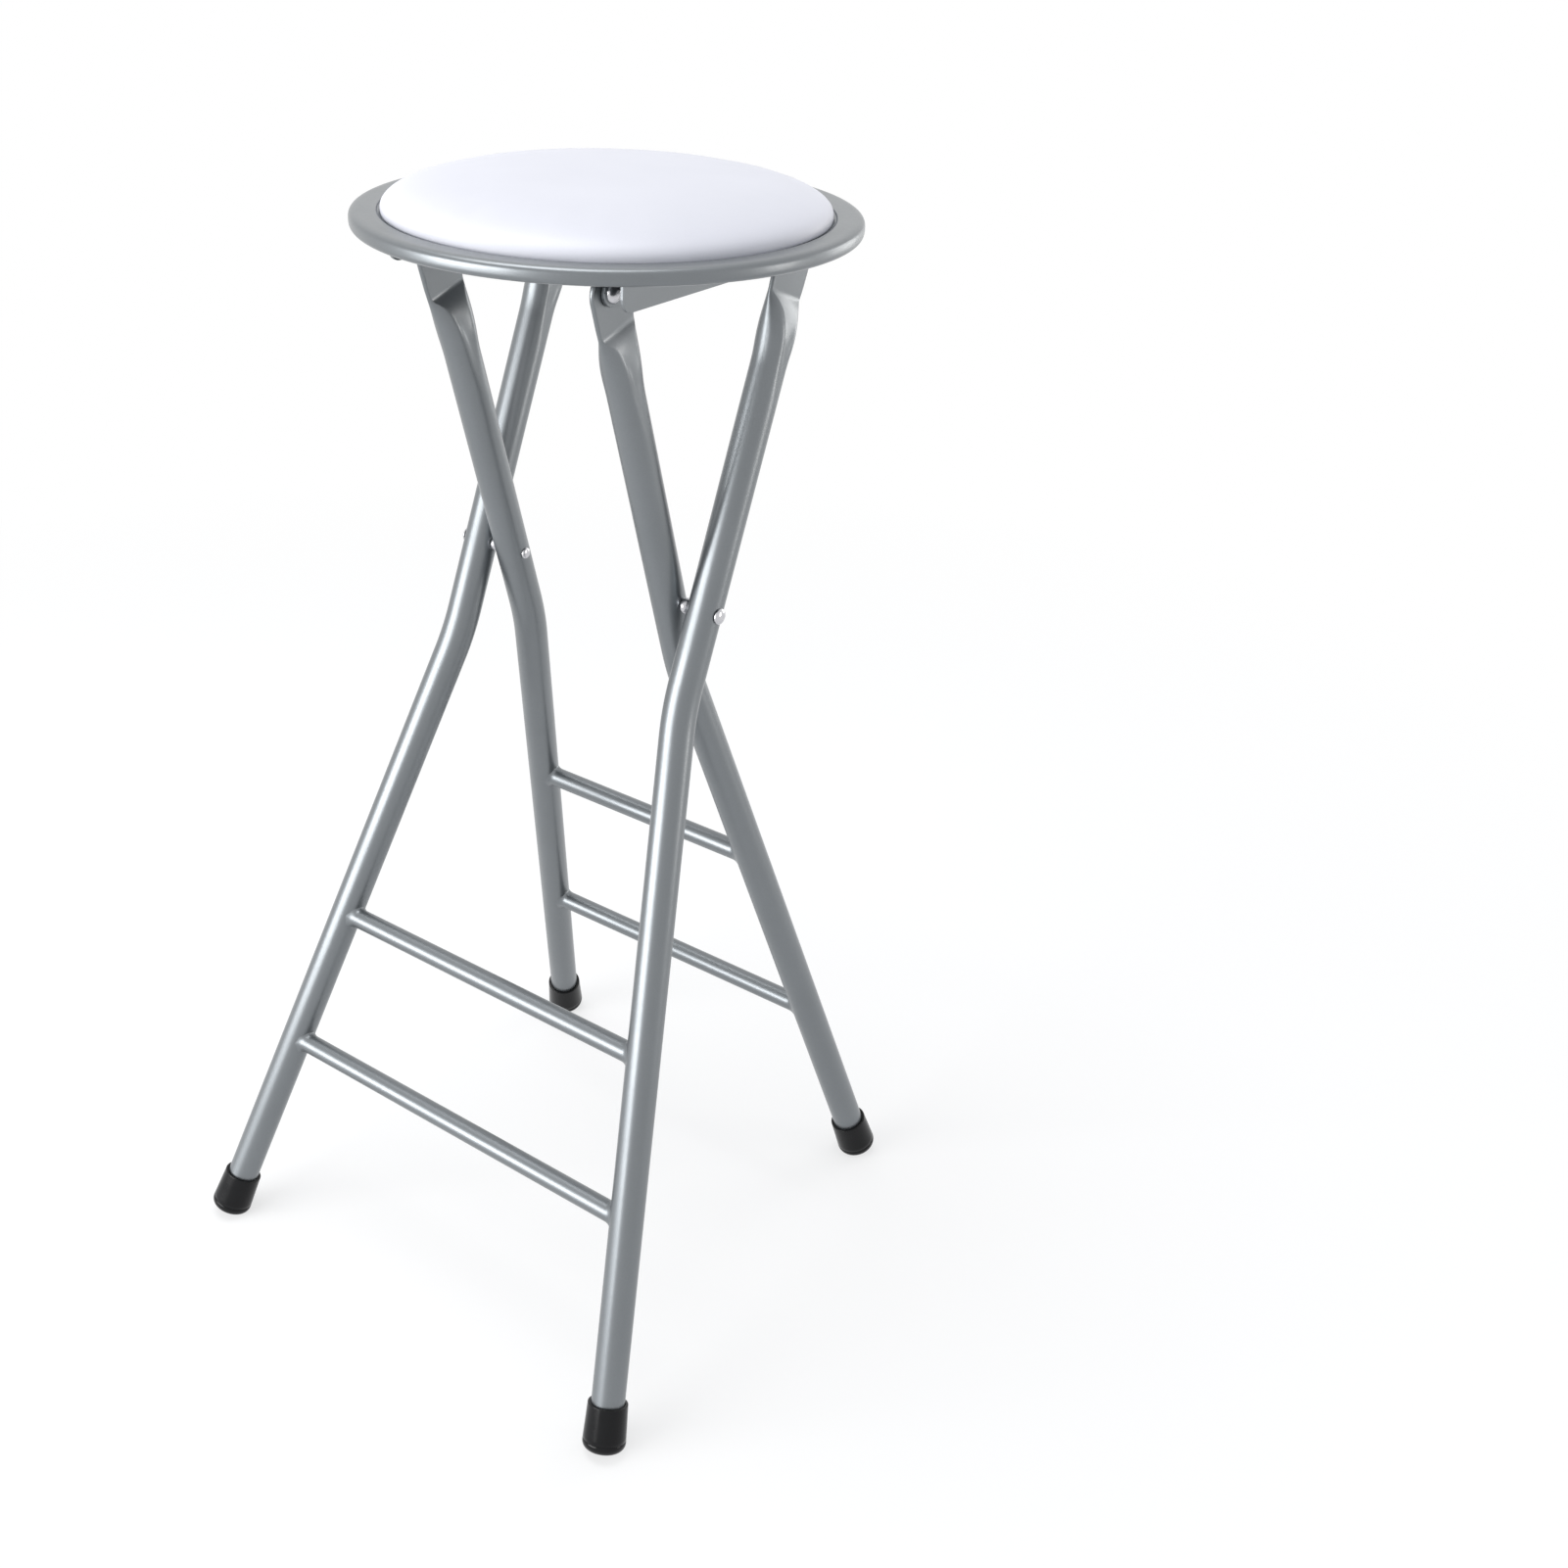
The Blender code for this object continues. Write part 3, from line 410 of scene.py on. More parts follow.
# ---- the two tube frames
class Frame:
    """Flat ladder whose legs run from the top pivots to the floor, with one bend."""

    def __init__(self, pivot, foot_y, widths, bend, rungs, flat):
        self.top = side_point(pivot)
        self.foot = Vector((foot_y, 0.0))
        self.length = (self.foot - self.top).length
        self.dir = (self.foot - self.top) / self.length
        self.widths, self.bend, self.rungs = widths, bend * self.length, rungs
        self.flat_x, self.flat_w, self.flat_set = flat
        top, mid, low = widths
        self.m0, self.m1 = (mid - top) / self.bend, (low - mid) / (self.length - self.bend)
        self.half = BEND_R * math.tan((math.atan(self.m1) - math.atan(self.m0)) / 2)
        self.normal = Vector((0, -self.dir.y, self.dir.x))

    def yz(self, s):
        return self.top + self.dir * s

    def width(self, s):
        t = (s - self.bend) / self.half
        if t <= -1:
            return self.widths[0] + self.m0 * s
        if t >= 1:
            return self.widths[1] + self.m1 * (s - self.bend)
        return self.widths[1] + self.half / 4 * (self.m1 * (t + 1) ** 2 - self.m0 * (t - 1) ** 2)

    def axis(self, side, s):
        y, z = self.yz(s)
        return Vector((side * self.width(s), y, z))

    def low_dir(self, side):
        return Vector((side * self.m1, self.dir.x, self.dir.y)).normalized()


FRAMES = {
    "outer": Frame(PIVOT_A, -215.5, (90.5, 92.5, 181.0), 0.370, (0.660, 0.798),
                   (FLAT_A_X, 36.0, 0.6)),
    "inner": Frame(PIVOT_B, 147.0, (62.0, 65.0, 151.5), 0.363, (0.582, 0.787),
                   (FLAT_B_X, 32.0, 1.4)),
}
_a, _b = FRAMES["outer"], FRAMES["inner"]
CROSS_S = ((_b.top - _a.top).x * _b.dir.y - (_b.top - _a.top).y * _b.dir.x) / (
    _a.dir.x * _b.dir.y - _a.dir.y * _b.dir.x)
CROSS = _a.yz(CROSS_S)
CROSS_X = (_a.width(CROSS_S), _b.width((CROSS - _b.top).length))


def ramp(t, soft):
    """Straight ramp from 0 to 1 with a short rounded start and end."""
    if t <= -soft:
        return 0.0
    if t < soft:
        return (t + soft) ** 2 / (4 * soft)
    if t > 1 + soft:
        return 1.0
    if t > 1 - soft:
        return 1 - (1 + soft - t) ** 2 / (4 * soft)
    return t


def opening(t):
    """How far the flat has opened to the round tube: quick at first, then slower."""
    return 1 - (1 - ramp(t / RISE_RUN, RISE_SOFT)) ** 2


def ease(t, start, end):
    """Smooth step from 0 at start to 1 at end."""
    k = min(1.0, max(0.0, (t - start) / (end - start)))
    return k * k * (3 - 2 * k)


def leg(kind, word, side):
    """Tube leg with its pressed top, bend and squared lower end."""
    f = FRAMES[kind]
    steps, top_rows, run_rows, bend_rows, straight_rows = 72, 13, 84, 10, 6
    turns = [math.tau * (k + 0.5) / steps for k in range(steps)]
    thick = FLAT_T / 2
    rings = []
    for k in range(top_rows + 1):         # the flat's rounded upper end
        corner = math.radians(20 + 70 * k / top_rows)
        wide = f.flat_w / 2 - FLAT_CORNER * (1 - math.sin(corner))
        y, z = f.yz(FLAT_CORNER * (1 - math.cos(corner)) - FLAT_ABOVE)
        rings.append([Vector((side * (f.flat_x + thick * math.cos(a)), y, z)) + f.normal * (
            thick * math.sin(a) + math.copysign(wide - thick, math.sin(a)) + f.flat_set)
            for a in turns])
    for k in range(run_rows + 1):         # the run-out from the flat to the round tube
        t = RUN_START + (DENT_END - RUN_START) * (k / run_rows) ** RUN_CROWD
        fill = opening(t)
        narrow = ease(t, *NARROW)
        s = FLAT_BELOW + FLAT_FADE * t
        y, z = f.yz(s)
        wide = f.flat_w / 2 + (R - f.flat_w / 2) * narrow
        deep = thick + (R - thick) * fill
        dent = DENT * ease(t, *DENT_IN) * (1 - ease(t, *DENT_OUT))
        ring = []
        for a in turns:
            across = deep * math.sin(a) + math.copysign(wide - deep, math.sin(a))
            across += (wide * math.sin(a) - across) * BULGE * 4 * fill * (1 - fill)
            share = across / wide
            out = (thick + (R - thick) * opening(t + ARCH * (1 - share ** 2))) * math.cos(a)
            out *= 1 - dent * math.exp(-(share / DENT_WIDE) ** 2)
            ring.append(Vector((side * (f.flat_x + (f.width(s) - f.flat_x) * fill + out), y, z))
                        + f.normal * (across + f.flat_set * (1 - narrow)))
        rings.append(ring)
    along = Vector((0, f.dir.x, f.dir.y))
    stops = [f.bend + f.half * t / bend_rows for t in range(-bend_rows, bend_rows + 1)]
    straight = f.length - LEG_END - f.bend - f.half
    stops += [f.bend + f.half + straight * t / straight_rows for t in range(1, straight_rows + 1)]
    for s in stops:                       # the round tube, through the bend and down
        slope = f.width(s + 0.5) - f.width(s - 0.5)
        axis = (Vector((side * slope, 0, 0)) + along).normalized()
        lateral = (Vector((side, 0, 0)) - axis * axis.x * side).normalized()
        rings.append([f.axis(side, s) + R * (math.cos(a) * lateral + math.sin(a) * f.normal)
                      for a in turns])
    bm = bmesh.new()
    loft(bm, rings)
    build(f"{kind}_leg_{word}_tube", bm, "silver_paint", f"{kind}_frame", [f"{kind}_leg_{word}"])


def rung(kind, word, place):
    """Rung tube with a weld fillet flaring onto each leg."""
    f = FRAMES[kind]
    s = place * f.length
    y, z = f.yz(s)
    w = f.width(s)
    low = f.low_dir(1)
    steps = 48

    def reach(oy, oz):
        """Where a line along X, oy and oz off the rung's axis, meets the leg's near side."""
        k = oy * low.y + oz * low.z
        a, b = 1 - low.x ** 2, -2 * low.x * k
        c = oy * oy + oz * oz - k * k - (R - WELD_IN) ** 2
        return w + (-b - math.sqrt(b * b - 4 * a * c)) / (2 * a)

    rings = []
    for sign in (-1, 1):
        part = []
        for back, extra in FLARE:
            ring = []
            for k in range(steps):
                a = math.tau * k / steps
                bead = 1.0 + BEAD_SHARE * math.sin(BEADS * a + sign + s) * min(1.0, extra)
                radius = RUNG_R + extra * bead
                oy, oz = radius * math.cos(a), radius * math.sin(a)
                ring.append(Vector((sign * (reach(oy, oz) - back), y + oy, z + oz)))
            part.append(ring)
        rings += part if sign < 0 else list(reversed(part))
    bm = bmesh.new()
    loft(bm, rings)
    build(f"{kind}_rung_{word}_tube", bm, "silver_paint", f"{kind}_frame", [f"{kind}_rung_{word}"])


def foot_tip(kind, word, side):
    """Rubber tip: rolled mouth, slight taper, a faint mould groove, worn level where it stands."""
    f = FRAMES[kind]
    grow = TIP_R - TIP_TOP_R

    def wall(h):
        return TIP_R - grow * (h - TAPER_FROM) / (TIP_H - TAPER_FROM)

    low, high = GROOVE_H - GROOVE_HALF, GROOVE_H + GROOVE_HALF
    profile = [(0.0, TIP_END)] + arc(TIP_R - TIP_EDGE, TIP_END + TIP_EDGE, TIP_EDGE, -90, 0, 12)
    profile += [(wall(low), low), (wall(GROOVE_H) - GROOVE_DEEP, GROOVE_H), (wall(high), high)]
    profile += [(wall(h), h) for h in (12.0, 18.0, 24.0, 30.0)]
    profile += [(TIP_TOP_R + 0.02, TIP_H - 1.0)]
    profile += arc(TIP_TOP_R - MOUTH_R, TIP_H - MOUTH_R, MOUTH_R, 0, 90, 4)
    profile += [(R + 0.55, TIP_H), (R + 0.12, TIP_H - 0.4)]
    profile += [(R + 0.05, TIP_H - 3.0), (0.0, TIP_H - 3.0)]
    bm = bmesh.new()
    revolve(bm, profile, (side * f.widths[2], f.foot.x, 0.0), -f.low_dir(side), 64)
    geom = bm.verts[:] + bm.edges[:] + bm.faces[:]
    done = bmesh.ops.bisect_plane(bm, geom=geom, plane_co=(0, 0, 0), plane_no=(0, 0, 1),
                                  clear_inner=True)
    rim = [e for e in done["geom_cut"] if isinstance(e, bmesh.types.BMEdge)]
    bmesh.ops.contextual_create(bm, geom=rim)
    build(f"{kind}_tip_{word}_rubber", bm, "black_rubber", f"{kind}_frame",
          [f"{kind}_foot_tip_{word}"], angle=40.0)


for word, side in SIDES:
    for kind in FRAMES:
        leg(kind, word, side)
        foot_tip(kind, word, side)
for kind, f in FRAMES.items():
    for word, place in zip(("upper", "lower"), f.rungs):
        rung(kind, word, place)


# ---- rivets, pins and screws
def rivet(name, body, place, side, x_tail, x_head, head, tail):
    """Set rivet along X: a domed head with a shallow tool mark outside, its tail inside."""
    profile = list(reversed(dome(*tail, x_tail, -1, 6))) if tail else [(0.0, x_tail)]
    profile += [(RIVET_R, x_tail), (RIVET_R, x_head)]
    if head:
        profile += dome(*head, x_head, 1)
        flat, crown = MARK_SHARE * head[0], x_head + head[1]
        profile = [p for p in profile[:-1] if p[0] > flat or p[1] < x_head]
        profile += [(flat, crown - MARK_EDGE), (0.0, crown - MARK_DEEP)]
    else:
        profile += [(0.0, x_head)]
    bm = bmesh.new()
    revolve(bm, profile, (0, *place), (side, 0, 0), 40)
    build(f"{name}_set", bm, "bright_zinc", body, [name], angle=50.0)


for word, side in SIDES:
    rivet(f"seat_rivet_{word}", "seat", side_point(PIVOT_A), side,
          WEB_IN - SEATED, FLAT_A_X + FLAT_T / 2 + SEATED, HEAD, TAIL)
    rivet(f"bracket_rivet_{word}", "seat", side_point(PIVOT_L), side,
          LINK_TOP_X - LINK_T / 2 - SEATED, WEB_OUT + SEATED, HEAD, TAIL)
    rivet(f"link_rivet_{word}", f"link_{word}", side_point(PIVOT_B), side,
          LINK_LOW_X - LINK_T / 2 + HALF_PIN_IN, LINK_LOW_X + LINK_T / 2 + SEATED, HEAD, None)
    rivet(f"leg_rivet_{word}", "inner_frame", side_point(PIVOT_B), side,
          FLAT_B_X - FLAT_T / 2 - SEATED, FLAT_B_X + FLAT_T / 2 - HALF_PIN_IN, None, TAIL)
    rivet(f"cross_pin_{word}", "outer_frame", CROSS, side,
          CROSS_X[1] - R - SEATED, CROSS_X[0] + R - PIN_SEATED, PIN_HEAD, PIN_TAIL)
    x0, x1 = CROSS_X[1] + R + SPACER_GAP, CROSS_X[0] - R - SPACER_GAP
    mid, half = (x0 + x1) / 2, (x1 - x0) / 2
    ball = [(SPACER_R - SPACER_CROWN * (k / 10) ** 2, mid + half * k / 10)
            for k in range(-10, 11)]
    ball += [(SPACER_BORE, x1), (SPACER_BORE, x0)]
    bm = bmesh.new()
    revolve(bm, ball, (0, *CROSS), (side, 0, 0), 40, closed=True)
    build(f"cross_spacer_{word}_ball", bm, "bright_zinc", "outer_frame", [f"cross_spacer_{word}"])


def evaluated(obj):
    """A new mesh of the object with its modifiers applied."""
    graph = bpy.context.evaluated_depsgraph_get()
    return bpy.data.meshes.new_from_object(obj.evaluated_get(graph))


def cut(obj, bm):
    """Takes closed shapes, which may overlap each other, out of a finished piece."""
    tool = bpy.data.objects.new("cutter", to_mesh("cutter", bm))
    bpy.context.scene.collection.objects.link(tool)
    mod = obj.modifiers.new("cut", "BOOLEAN")
    mod.operation, mod.solver, mod.object = "DIFFERENCE", "EXACT", tool
    mod.use_self = True           # without it, overlapping shapes leave nothing
    done = evaluated(obj)
    obj.modifiers.clear()
    obj.data = done
    done.shade_smooth()
    done.set_sharp_from_angle(angle=math.radians(35))
    bpy.data.objects.remove(tool)


def block(bm, centre, size, spin):
    turn = Matrix.Rotation(spin, 4, "Z")
    corners = bmesh.ops.create_cube(bm, size=1.0)["verts"]
    for v in corners:
        v.co = turn @ Vector([v.co[i] * size[i] for i in range(3)]) + Vector(centre)


head_z = SEAT_Z - 0.02
for k, (x, y) in enumerate(((1, 0), (0, 1), (-1, 0), (0, -1))):
    x, y = x * SCREW_RING_R, y * SCREW_RING_R
    profile = list(reversed(dome(*SCREW_HEAD, head_z, -1, 8)))
    profile += [(SCREW_R, head_z), (SCREW_R, BOARD_TOP - 3.0), (0.0, BOARD_TOP - 1.5)]
    bm = bmesh.new()
    revolve(bm, profile, (x, y, 0), (0, 0, 1), 40)
    screw = build(f"seat_screw_{k + 1}_head", bm, "bright_zinc", "seat",
                  [f"seat_screw_{k + 1}"], angle=40.0)
    tool = bmesh.new()
    for turn in (0.35 + k, 0.35 + k + math.pi / 2):     # each screw stopped at its own angle
        block(tool, (x, y, head_z - CROSS_SLOT[2]), CROSS_SLOT, turn)
    cut(screw, tool)


# ---- seat rim: rolled sheet with a thin turned-up lip round the cushion
def roll(degrees):
    """Point of the rolled rim's section, a rounded square."""
    c, s = math.cos(math.radians(degrees)), math.sin(math.radians(degrees))
    return (RIM_R - ROLL_W + ROLL_W * math.copysign(abs(c) ** ROLL_SQUARE, c),
            SEAT_Z + ROLL_H * math.copysign(abs(s) ** ROLL_SQUARE, s))


lip_z = SEAT_Z + ROLL_H - 0.3
profile = [(FLANGE_R, FLANGE_TOP), (LIP_R - 0.6, FLANGE_TOP), (LIP_R, FLANGE_TOP + 0.5)]
profile += [(LIP_R + 0.2, lip_z - 0.7)] + arc(LIP_R + 0.8, lip_z - 0.6, 0.6, 170, 75, 5)
profile += [roll(a) for a in range(90, -126, -5)]
profile += [(PLATE_R + 2.0, SEAT_Z - 1.6), (PLATE_R + GAP, SEAT_Z - 0.4)]
profile += [(PLATE_R + GAP, SEAT_Z + 1.8), (FLANGE_R, SEAT_Z + 1.8)]
bm = bmesh.new()
revolve(bm, profile, (0, 0, 0), (0, 0, 1), 288, closed=True)
build("seat_rim_roll", bm, "silver_paint", "seat", ["seat_rim"], angle=45.0)


# ---- cushion: foam in a stretched vinyl cover, blown out against its pinned hem
def cushion_profile(t):
    """Point (radius, height) of the cover: t 0 is the crown's middle, 1 the hem under the side."""
    if t < 1 - SIDE_PART:
        a = math.pi / 2 * (1 - t / (1 - SIDE_PART))
        return (CUSHION_R * math.cos(a) ** CROWN_POWER if a < math.pi / 2 else 0.0,
                SEAT_Z + CUSHION_WIDE + CROWN * math.sin(a))
    u = max(0.0, (t - 1 + SIDE_PART) / SIDE_PART)
    return (CUSHION_R - TUCK * max(0.0, u - TUCK_FROM) ** TUCK_POWER,
            SEAT_Z + CUSHION_WIDE - SIDE_H * u)


def cushion_mesh():
    """Cover and underside as two square nets laid on the disc and sewn at the hem."""
    n, last = NET, 400
    samples = [cushion_profile(k / last) for k in range(last + 1)]
    run = [0.0]
    for p, q in zip(samples, samples[1:]):
        run.append(run[-1] + math.hypot(q[0] - p[0], q[1] - p[1]))

    def at(share):
        """Profile point at this share of its length."""
        want, k = share * run[-1], 0
        while k < last - 1 and run[k + 1] < want:
            k += 1
        f = (want - run[k]) / (run[k + 1] - run[k])
        return [samples[k][i] + (samples[k + 1][i] - samples[k][i]) * f for i in (0, 1)]

    under_z = BOARD_TOP + GAP
    skirt = BOARD_R + 0.5
    hem = samples[-1]
    bm = bmesh.new()
    nets = []
    for layer in (0, 1):
        net = {}
        for i in range(n + 1):
            for j in range(n + 1):
                u, v = 2 * i / n - 1, 2 * j / n - 1
                x, y = u * math.sqrt(1 - v * v / 2), v * math.sqrt(1 - u * u / 2)
                share = min(1.0, math.hypot(x, y))
                if layer and max(abs(u), abs(v)) > 1 - 1e-9:
                    net[i, j] = nets[0][i, j]
                    continue
                if layer == 0:
                    r, z = at(share)
                elif share < HEM_FROM:
                    r, z = share / HEM_FROM * skirt, under_z
                else:
                    k = (share - HEM_FROM) / HEM_SHARE
                    r, z = skirt + (hem[0] - skirt) * k, under_z + (hem[1] - under_z) * k
                scale = r / max(math.hypot(x, y), 1e-9)
                net[i, j] = bm.verts.new((x * scale, y * scale, z))
        nets.append(net)
        for i in range(n):
            for j in range(n):
                face = (net[i, j], net[i + 1, j], net[i + 1, j + 1], net[i, j + 1])
                if abs(i - j) == n - 1:
                    # at these two corners the layers would share a triangle
                    face = face[1:] + face[:1]
                bm.faces.new(face)
    return bm


def from_centre(p):
    """Level distance of a finished point from the seat's centre, in metres."""
    return Vector((p.x, p.y - SEAT_PLACE.y * MM)).length


def blow_up(obj, cap, low_z, high_z):
    """Inflates the cover as cloth, keeping each point within cap of its start. All below low_z is
    pinned, and inside the cushion's radius all below high_z, which is its underside."""
    start = [v.co.copy() for v in obj.data.vertices]
    pins = obj.vertex_groups.new(name="pins")
    for i, p in enumerate(start):
        r = from_centre(p)
        below = p.z < low_z or (r < CUSHION_R * MM * 0.99 and p.z < high_z)
        pins.add([i], 1.0 if below else 0.0, "REPLACE")
    mod = obj.modifiers.new("cloth", "CLOTH")
    cloth = mod.settings
    cloth.quality = 8
    cloth.mass = 0.3
    cloth.tension_stiffness = cloth.compression_stiffness = 40.0
    cloth.shear_stiffness = 20.0
    cloth.bending_stiffness = 8.0
    cloth.use_pressure = True
    cloth.uniform_pressure_force = 4.0
    cloth.vertex_group_mass = "pins"
    cloth.effector_weights.gravity = 0.0
    scene = bpy.context.scene
    for number in range(1, CLOTH_FRAMES + 1):
        scene.frame_set(number)
    done = evaluated(obj)
    for v, p in zip(done.vertices, start):
        move = v.co - p
        if move.length > cap:
            v.co = p + move * (cap / move.length)
    obj.modifiers.clear()
    obj.vertex_groups.clear()
    scene.frame_set(1)
    obj.data = done


cushion = build("cushion_cover", cushion_mesh(), "white_vinyl", "seat", ["seat_cushion"], angle=0)
blow_up(cushion, SWELL_CAP, HEM_Z, (BOARD_TOP + 1.0) * MM)
bm = bmesh.new()
bm.from_mesh(cushion.data)
for _ in range(SMOOTHINGS):
    top = [v for v in bm.verts if v.co.z > HEM_Z]
    bmesh.ops.smooth_vert(bm, verts=top, factor=0.5,
                          use_axis_x=True, use_axis_y=True, use_axis_z=True)
for v in bm.verts:
    r = from_centre(v.co) / (CUSHION_R * MM)
    if v.co.z > (SEAT_Z + 4.0) * MM and r > 0.5:
        turn = math.atan2(v.co.y - SEAT_PLACE.y * MM, v.co.x)
        pull = noise.noise(Vector((math.cos(turn), math.sin(turn), 0.0)) * PULL_WAVES)
        v.co.z += PULL * pull * math.sin(math.pi * (r - 0.5) / 0.5) ** 2
    if r > GRIP_R / CUSHION_R:
        shrink = GRIP_R / CUSHION_R / r
        v.co.x *= shrink
        v.co.y = SEAT_PLACE.y * MM + (v.co.y - SEAT_PLACE.y * MM) * shrink
bm.to_mesh(cushion.data)
bm.free()
cushion.data.shade_smooth()
cushion.data.materials.clear()
cushion.data.materials.append(MATS["white_vinyl"])
sub = cushion.modifiers.new("sub", "SUBSURF")
sub.levels = sub.render_levels = 1

# ---- lock: pull ring and spring at full detail
_l = side_point(PIVOT_L)
LOCK = _l + (side_point(PIVOT_B) - _l).normalized() * LOCK_REACH
rings = []
steps = 96
for k in range(steps):
    a = math.tau * k / steps
    out = Vector((0, math.sin(a), math.cos(a)))
    centre = Vector((-RING_X, LOCK.x, LOCK.y - RING_R)) + out * RING_R
    rings.append(circle_points(centre, RING_WIRE, out, Vector((1, 0, 0)), 20))
bm = bmesh.new()
loft(bm, rings, closed=True)
build("pull_ring_wire", bm, "bright_zinc", "pull_ring", ["pull_ring"])
rings = []
rise = SPRING_PITCH / math.tau
steps = 36
for k in range(SPRING_TURNS * steps + 1):
    a = math.tau * k / steps
    centre = Vector((-(SPRING_START + rise * a), LOCK.x + SPRING_R * math.cos(a),
                     LOCK.y + SPRING_R * math.sin(a)))
    tangent = Vector((-rise, -SPRING_R * math.sin(a), SPRING_R * math.cos(a))).normalized()
    radial = Vector((0, math.cos(a), math.sin(a)))
    other = tangent.cross(radial).normalized()
    rings.append(circle_points(centre, SPRING_WIRE, radial, other, 12))
bm = bmesh.new()
loft(bm, rings)
build("lock_spring_coil", bm, "spring_wire", "lock_pin", ["lock_spring"])

# ---- carried-over nodes: sheet metal with softened edges
KEPT = {"base_plate": "silver_paint", "seat_board": "seat_board", "lock_housing": "silver_paint",
        "bracket_left": "silver_paint", "bracket_right": "silver_paint",
        "link_left": "silver_paint", "link_right": "silver_paint", "lock_pin": "bright_zinc"}
for node, slot in KEPT.items():
    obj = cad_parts[node]
    for place in obj.material_slots:
        place.material = MATS[slot]
    if node != "lock_pin":
        weld = obj.modifiers.new("weld", "WELD")
        weld.merge_threshold = 1e-6
        bevel = obj.modifiers.new("edges", "BEVEL")
        bevel.width, bevel.segments, bevel.limit_method = SOFT_EDGE * MM, 2, "ANGLE"
        bevel.angle_limit = math.radians(40)

# ---- camera, floor and light
EYE = Vector((673.33, -848.70, 949.66)) + SEAT_PLACE
AIM = Vector((0.25, 48.8, 302.0)) + SEAT_PLACE
ROLL = 0.027
SENSOR = 36.0
FOCAL_PX = 1833.5
FRAME_PX = 1601.0
CENTRE_PX = (655.4, 822.0)
forward = (AIM - EYE).normalized()
right = forward.cross(Vector((0, 0, 1))).normalized()
up = right.cross(forward)
across = math.cos(ROLL) * right + math.sin(ROLL) * up
upright = math.cos(ROLL) * up - math.sin(ROLL) * right
data = bpy.data.cameras.new("camera")
data.sensor_width = SENSOR
data.lens = FOCAL_PX / FRAME_PX * SENSOR
data.shift_x = (FRAME_PX / 2 - CENTRE_PX[0]) / FRAME_PX
data.shift_y = (CENTRE_PX[1] - FRAME_PX / 2) / FRAME_PX
data.clip_start = 0.01
camera = bpy.data.objects.new("camera", data)
pose = Matrix((across, upright, -forward)).transposed().to_4x4()
pose.translation = EYE * MM
camera.matrix_world = pose
bpy.context.scene.collection.objects.link(camera)
bpy.context.scene.camera = camera


def shown_rays(tree):
    """1 for rays that show the backdrop: from the camera, in gloss and through clear pieces."""
    path = tree.nodes.new("ShaderNodeLightPath")
    out = path.outputs["Is Camera Ray"]
    for name in ("Is Glossy Ray", "Is Transmission Ray"):
        node = tree.nodes.new("ShaderNodeMath")
        node.operation = "MAXIMUM"
        tree.links.new(out, node.inputs[0])
        tree.links.new(path.outputs[name], node.inputs[1])
        out = node.outputs[0]
    return out


def floor_material():
    """Plain white floor that keeps the stool's shadow and turns into the backdrop further out.
    It is clear from below, so that the stool's underside can be seen."""
    n = Nodes("floor_white")
    clouds = n.noise(3.0, 2.0)
    n.finish(n.mix(n.ranged(clouds, 0.0, 1.0), (0.72, 0.72, 0.72), (0.73, 0.73, 0.73)),
             n.ranged(clouds, 0.85, 0.9), Specular_IOR_Level=0.1)
    length = n.new("ShaderNodeVectorMath", operation="LENGTH")
    n.link(n.place, length.inputs[0])
    far = n.ranged(length.outputs["Value"], 0.0, 1.0, FLOOR_NEAR, FLOOR_FAR)
    shade = n.new("ShaderNodeBsdfDiffuse")
    shade.inputs["Color"].default_value = (SHADOW_SHARE, SHADOW_SHARE, SHADOW_SHARE, 1.0)
    glow = n.new("ShaderNodeEmission")
    glow.inputs["Strength"].default_value = FLOOR_GLOW
    near = n.new("ShaderNodeAddShader")
    n.link(shade.outputs[0], near.inputs[0])
    n.link(glow.outputs[0], near.inputs[1])
    white = n.new("ShaderNodeEmission")
    reach = n.new("ShaderNodeMixShader")
    n.link(far, reach.inputs[0])
    n.link(near.outputs[0], reach.inputs[1])
    n.link(white.outputs[0], reach.inputs[2])
    pick = n.new("ShaderNodeMixShader")
    n.link(shown_rays(n.tree), pick.inputs[0])
    n.link(n.shader.outputs[0], pick.inputs[1])
    n.link(reach.outputs[0], pick.inputs[2])
    below = n.new("ShaderNodeMixShader")
    n.link(n.new("ShaderNodeNewGeometry").outputs["Backfacing"], below.inputs[0])
    n.link(pick.outputs[0], below.inputs[1])
    n.link(n.new("ShaderNodeBsdfTransparent").outputs[0], below.inputs[2])
    n.link(below.outputs[0], n.tree.nodes["Material Output"].inputs["Surface"])
    return n.mat


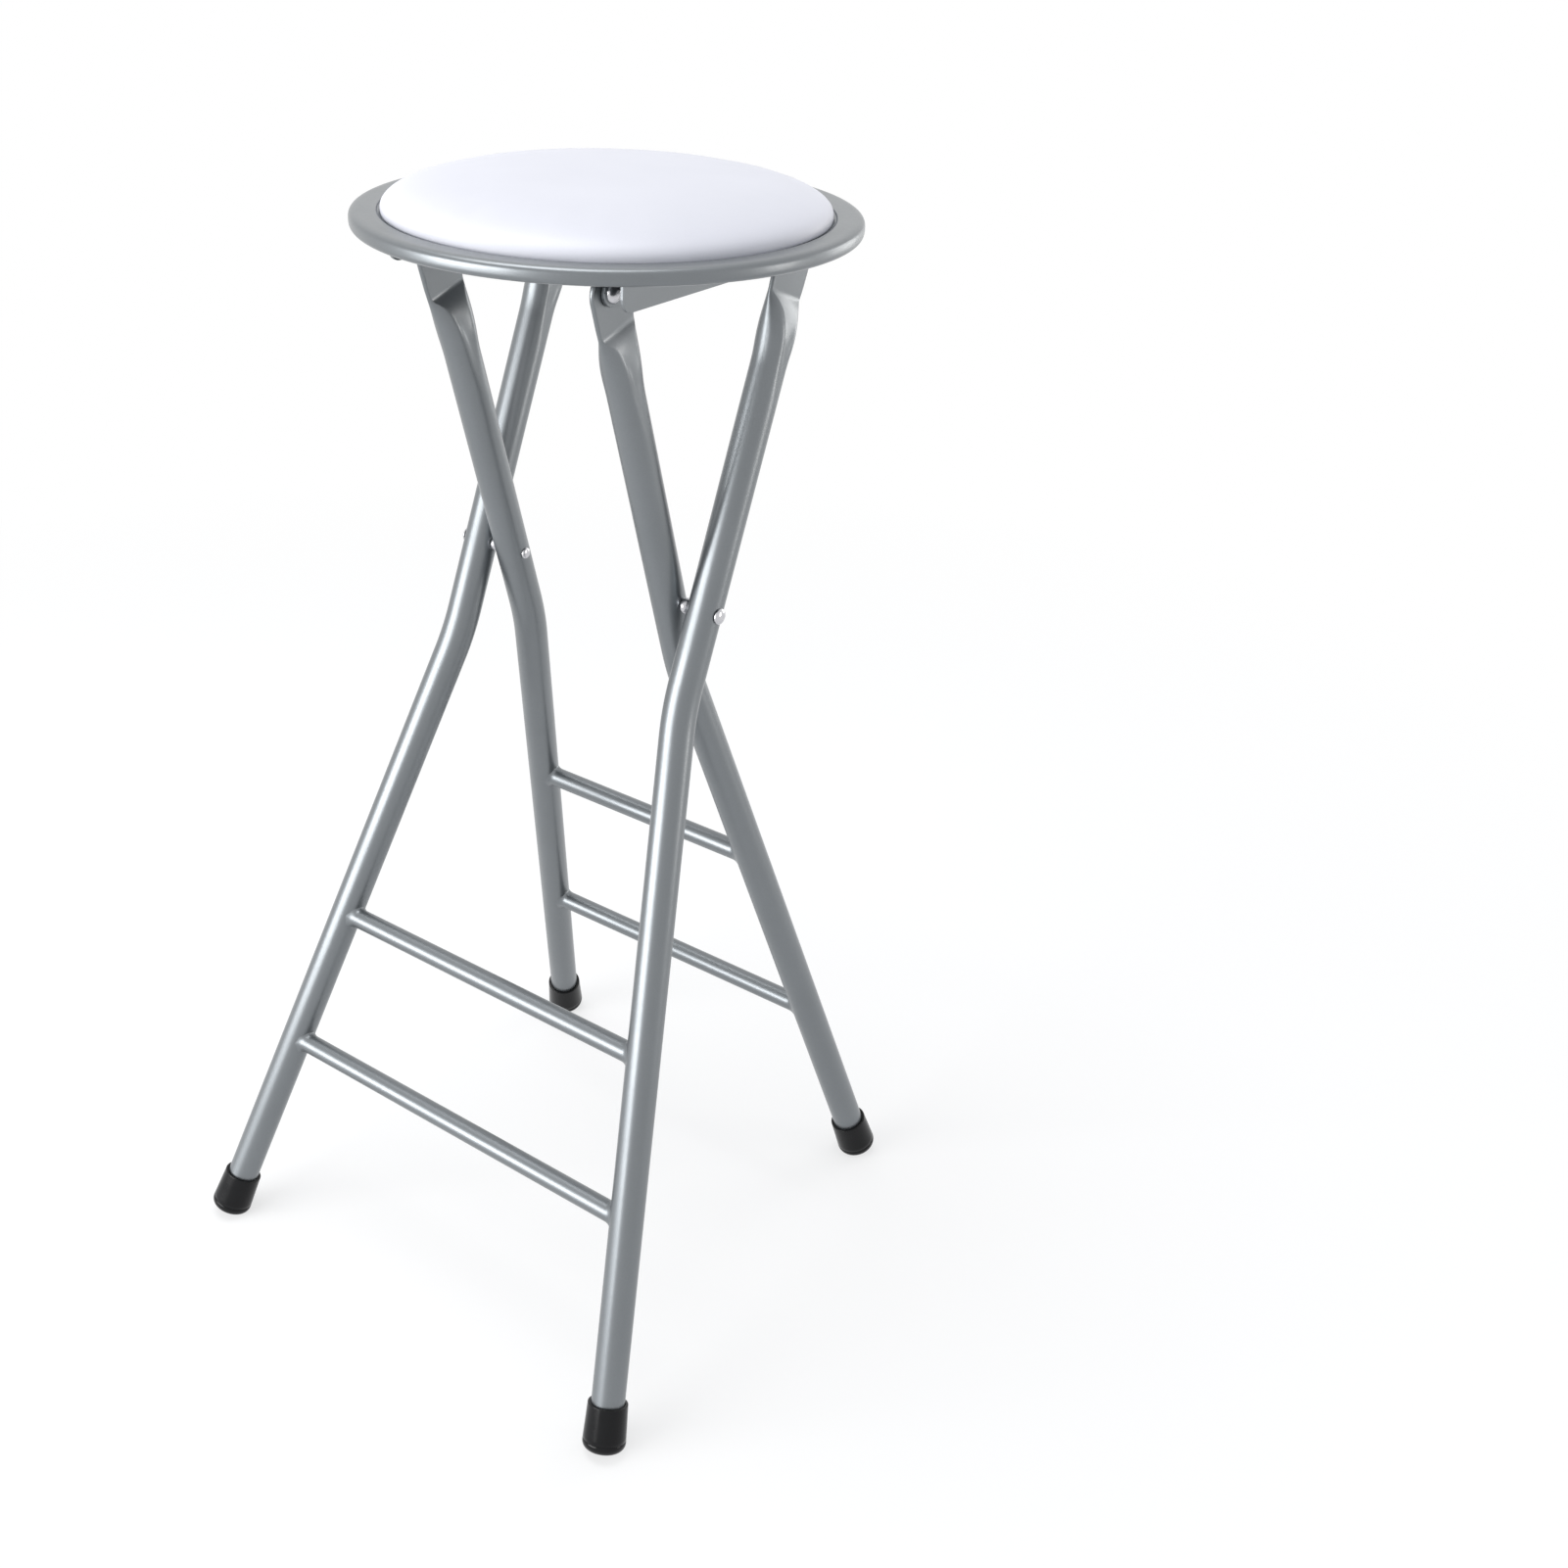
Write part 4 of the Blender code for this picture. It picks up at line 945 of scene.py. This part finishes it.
bm = bmesh.new()
bmesh.ops.create_circle(bm, cap_ends=True, radius=FLOOR_R, segments=96)
mesh = bpy.data.meshes.new("floor")
bm.to_mesh(mesh)
bm.free()
mesh.materials.append(floor_material())
floor = bpy.data.objects.new("floor", mesh)
floor.location.z = -FLOOR_UNDER
bpy.context.scene.collection.objects.link(floor)


def area(name, place, aim, size, power, colour=(1, 1, 1)):
    """Soft box of the given size in metres and power in watts."""
    light = bpy.data.lights.new(name, "AREA")
    light.shape = "RECTANGLE"
    light.size, light.size_y = size
    light.energy = power
    light.color = colour
    obj = bpy.data.objects.new(name, light)
    obj.location = place
    obj.rotation_euler = (Vector(aim) - Vector(place)).to_track_quat("-Z", "Y").to_euler()
    bpy.context.scene.collection.objects.link(obj)


area("key", (-1.1, -2.45, 0.74), (0.0, 0.0, 0.4), (2.1, 1.4), 71.0)
area("top", (-0.4, -0.1, 2.4), (0, 0, 0.4), (1.2, 1.2), 19.0)
area("side", (2.3, 1.2, 0.55), (0, 0, 0.45), (0.6, 1.0), 8.0, (1.0, 0.95, 0.90))
area("back", (0.9, 2.8, 0.8), (0, 0, 0.4), (1.3, 1.5), 16.0, (1.0, 0.98, 0.95))

world = bpy.data.worlds.new("studio")
world.use_nodes = True
tree = world.node_tree
tree.nodes.clear()
output = tree.nodes.new("ShaderNodeOutputWorld")
soft = tree.nodes.new("ShaderNodeBackground")
soft.inputs["Color"].default_value = (0.92, 0.95, 1.0, 1.0)
soft.inputs["Strength"].default_value = 0.53
plain = tree.nodes.new("ShaderNodeBackground")
plain.inputs["Color"].default_value = (1.0, 1.0, 1.0, 1.0)
plain.inputs["Strength"].default_value = 1.0
mixer = tree.nodes.new("ShaderNodeMixShader")
tree.links.new(shown_rays(tree), mixer.inputs[0])
tree.links.new(soft.outputs[0], mixer.inputs[1])
tree.links.new(plain.outputs[0], mixer.inputs[2])
tree.links.new(mixer.outputs[0], output.inputs["Surface"])
bpy.context.scene.world = world

bpy.context.scene.view_settings.view_transform = "Standard"
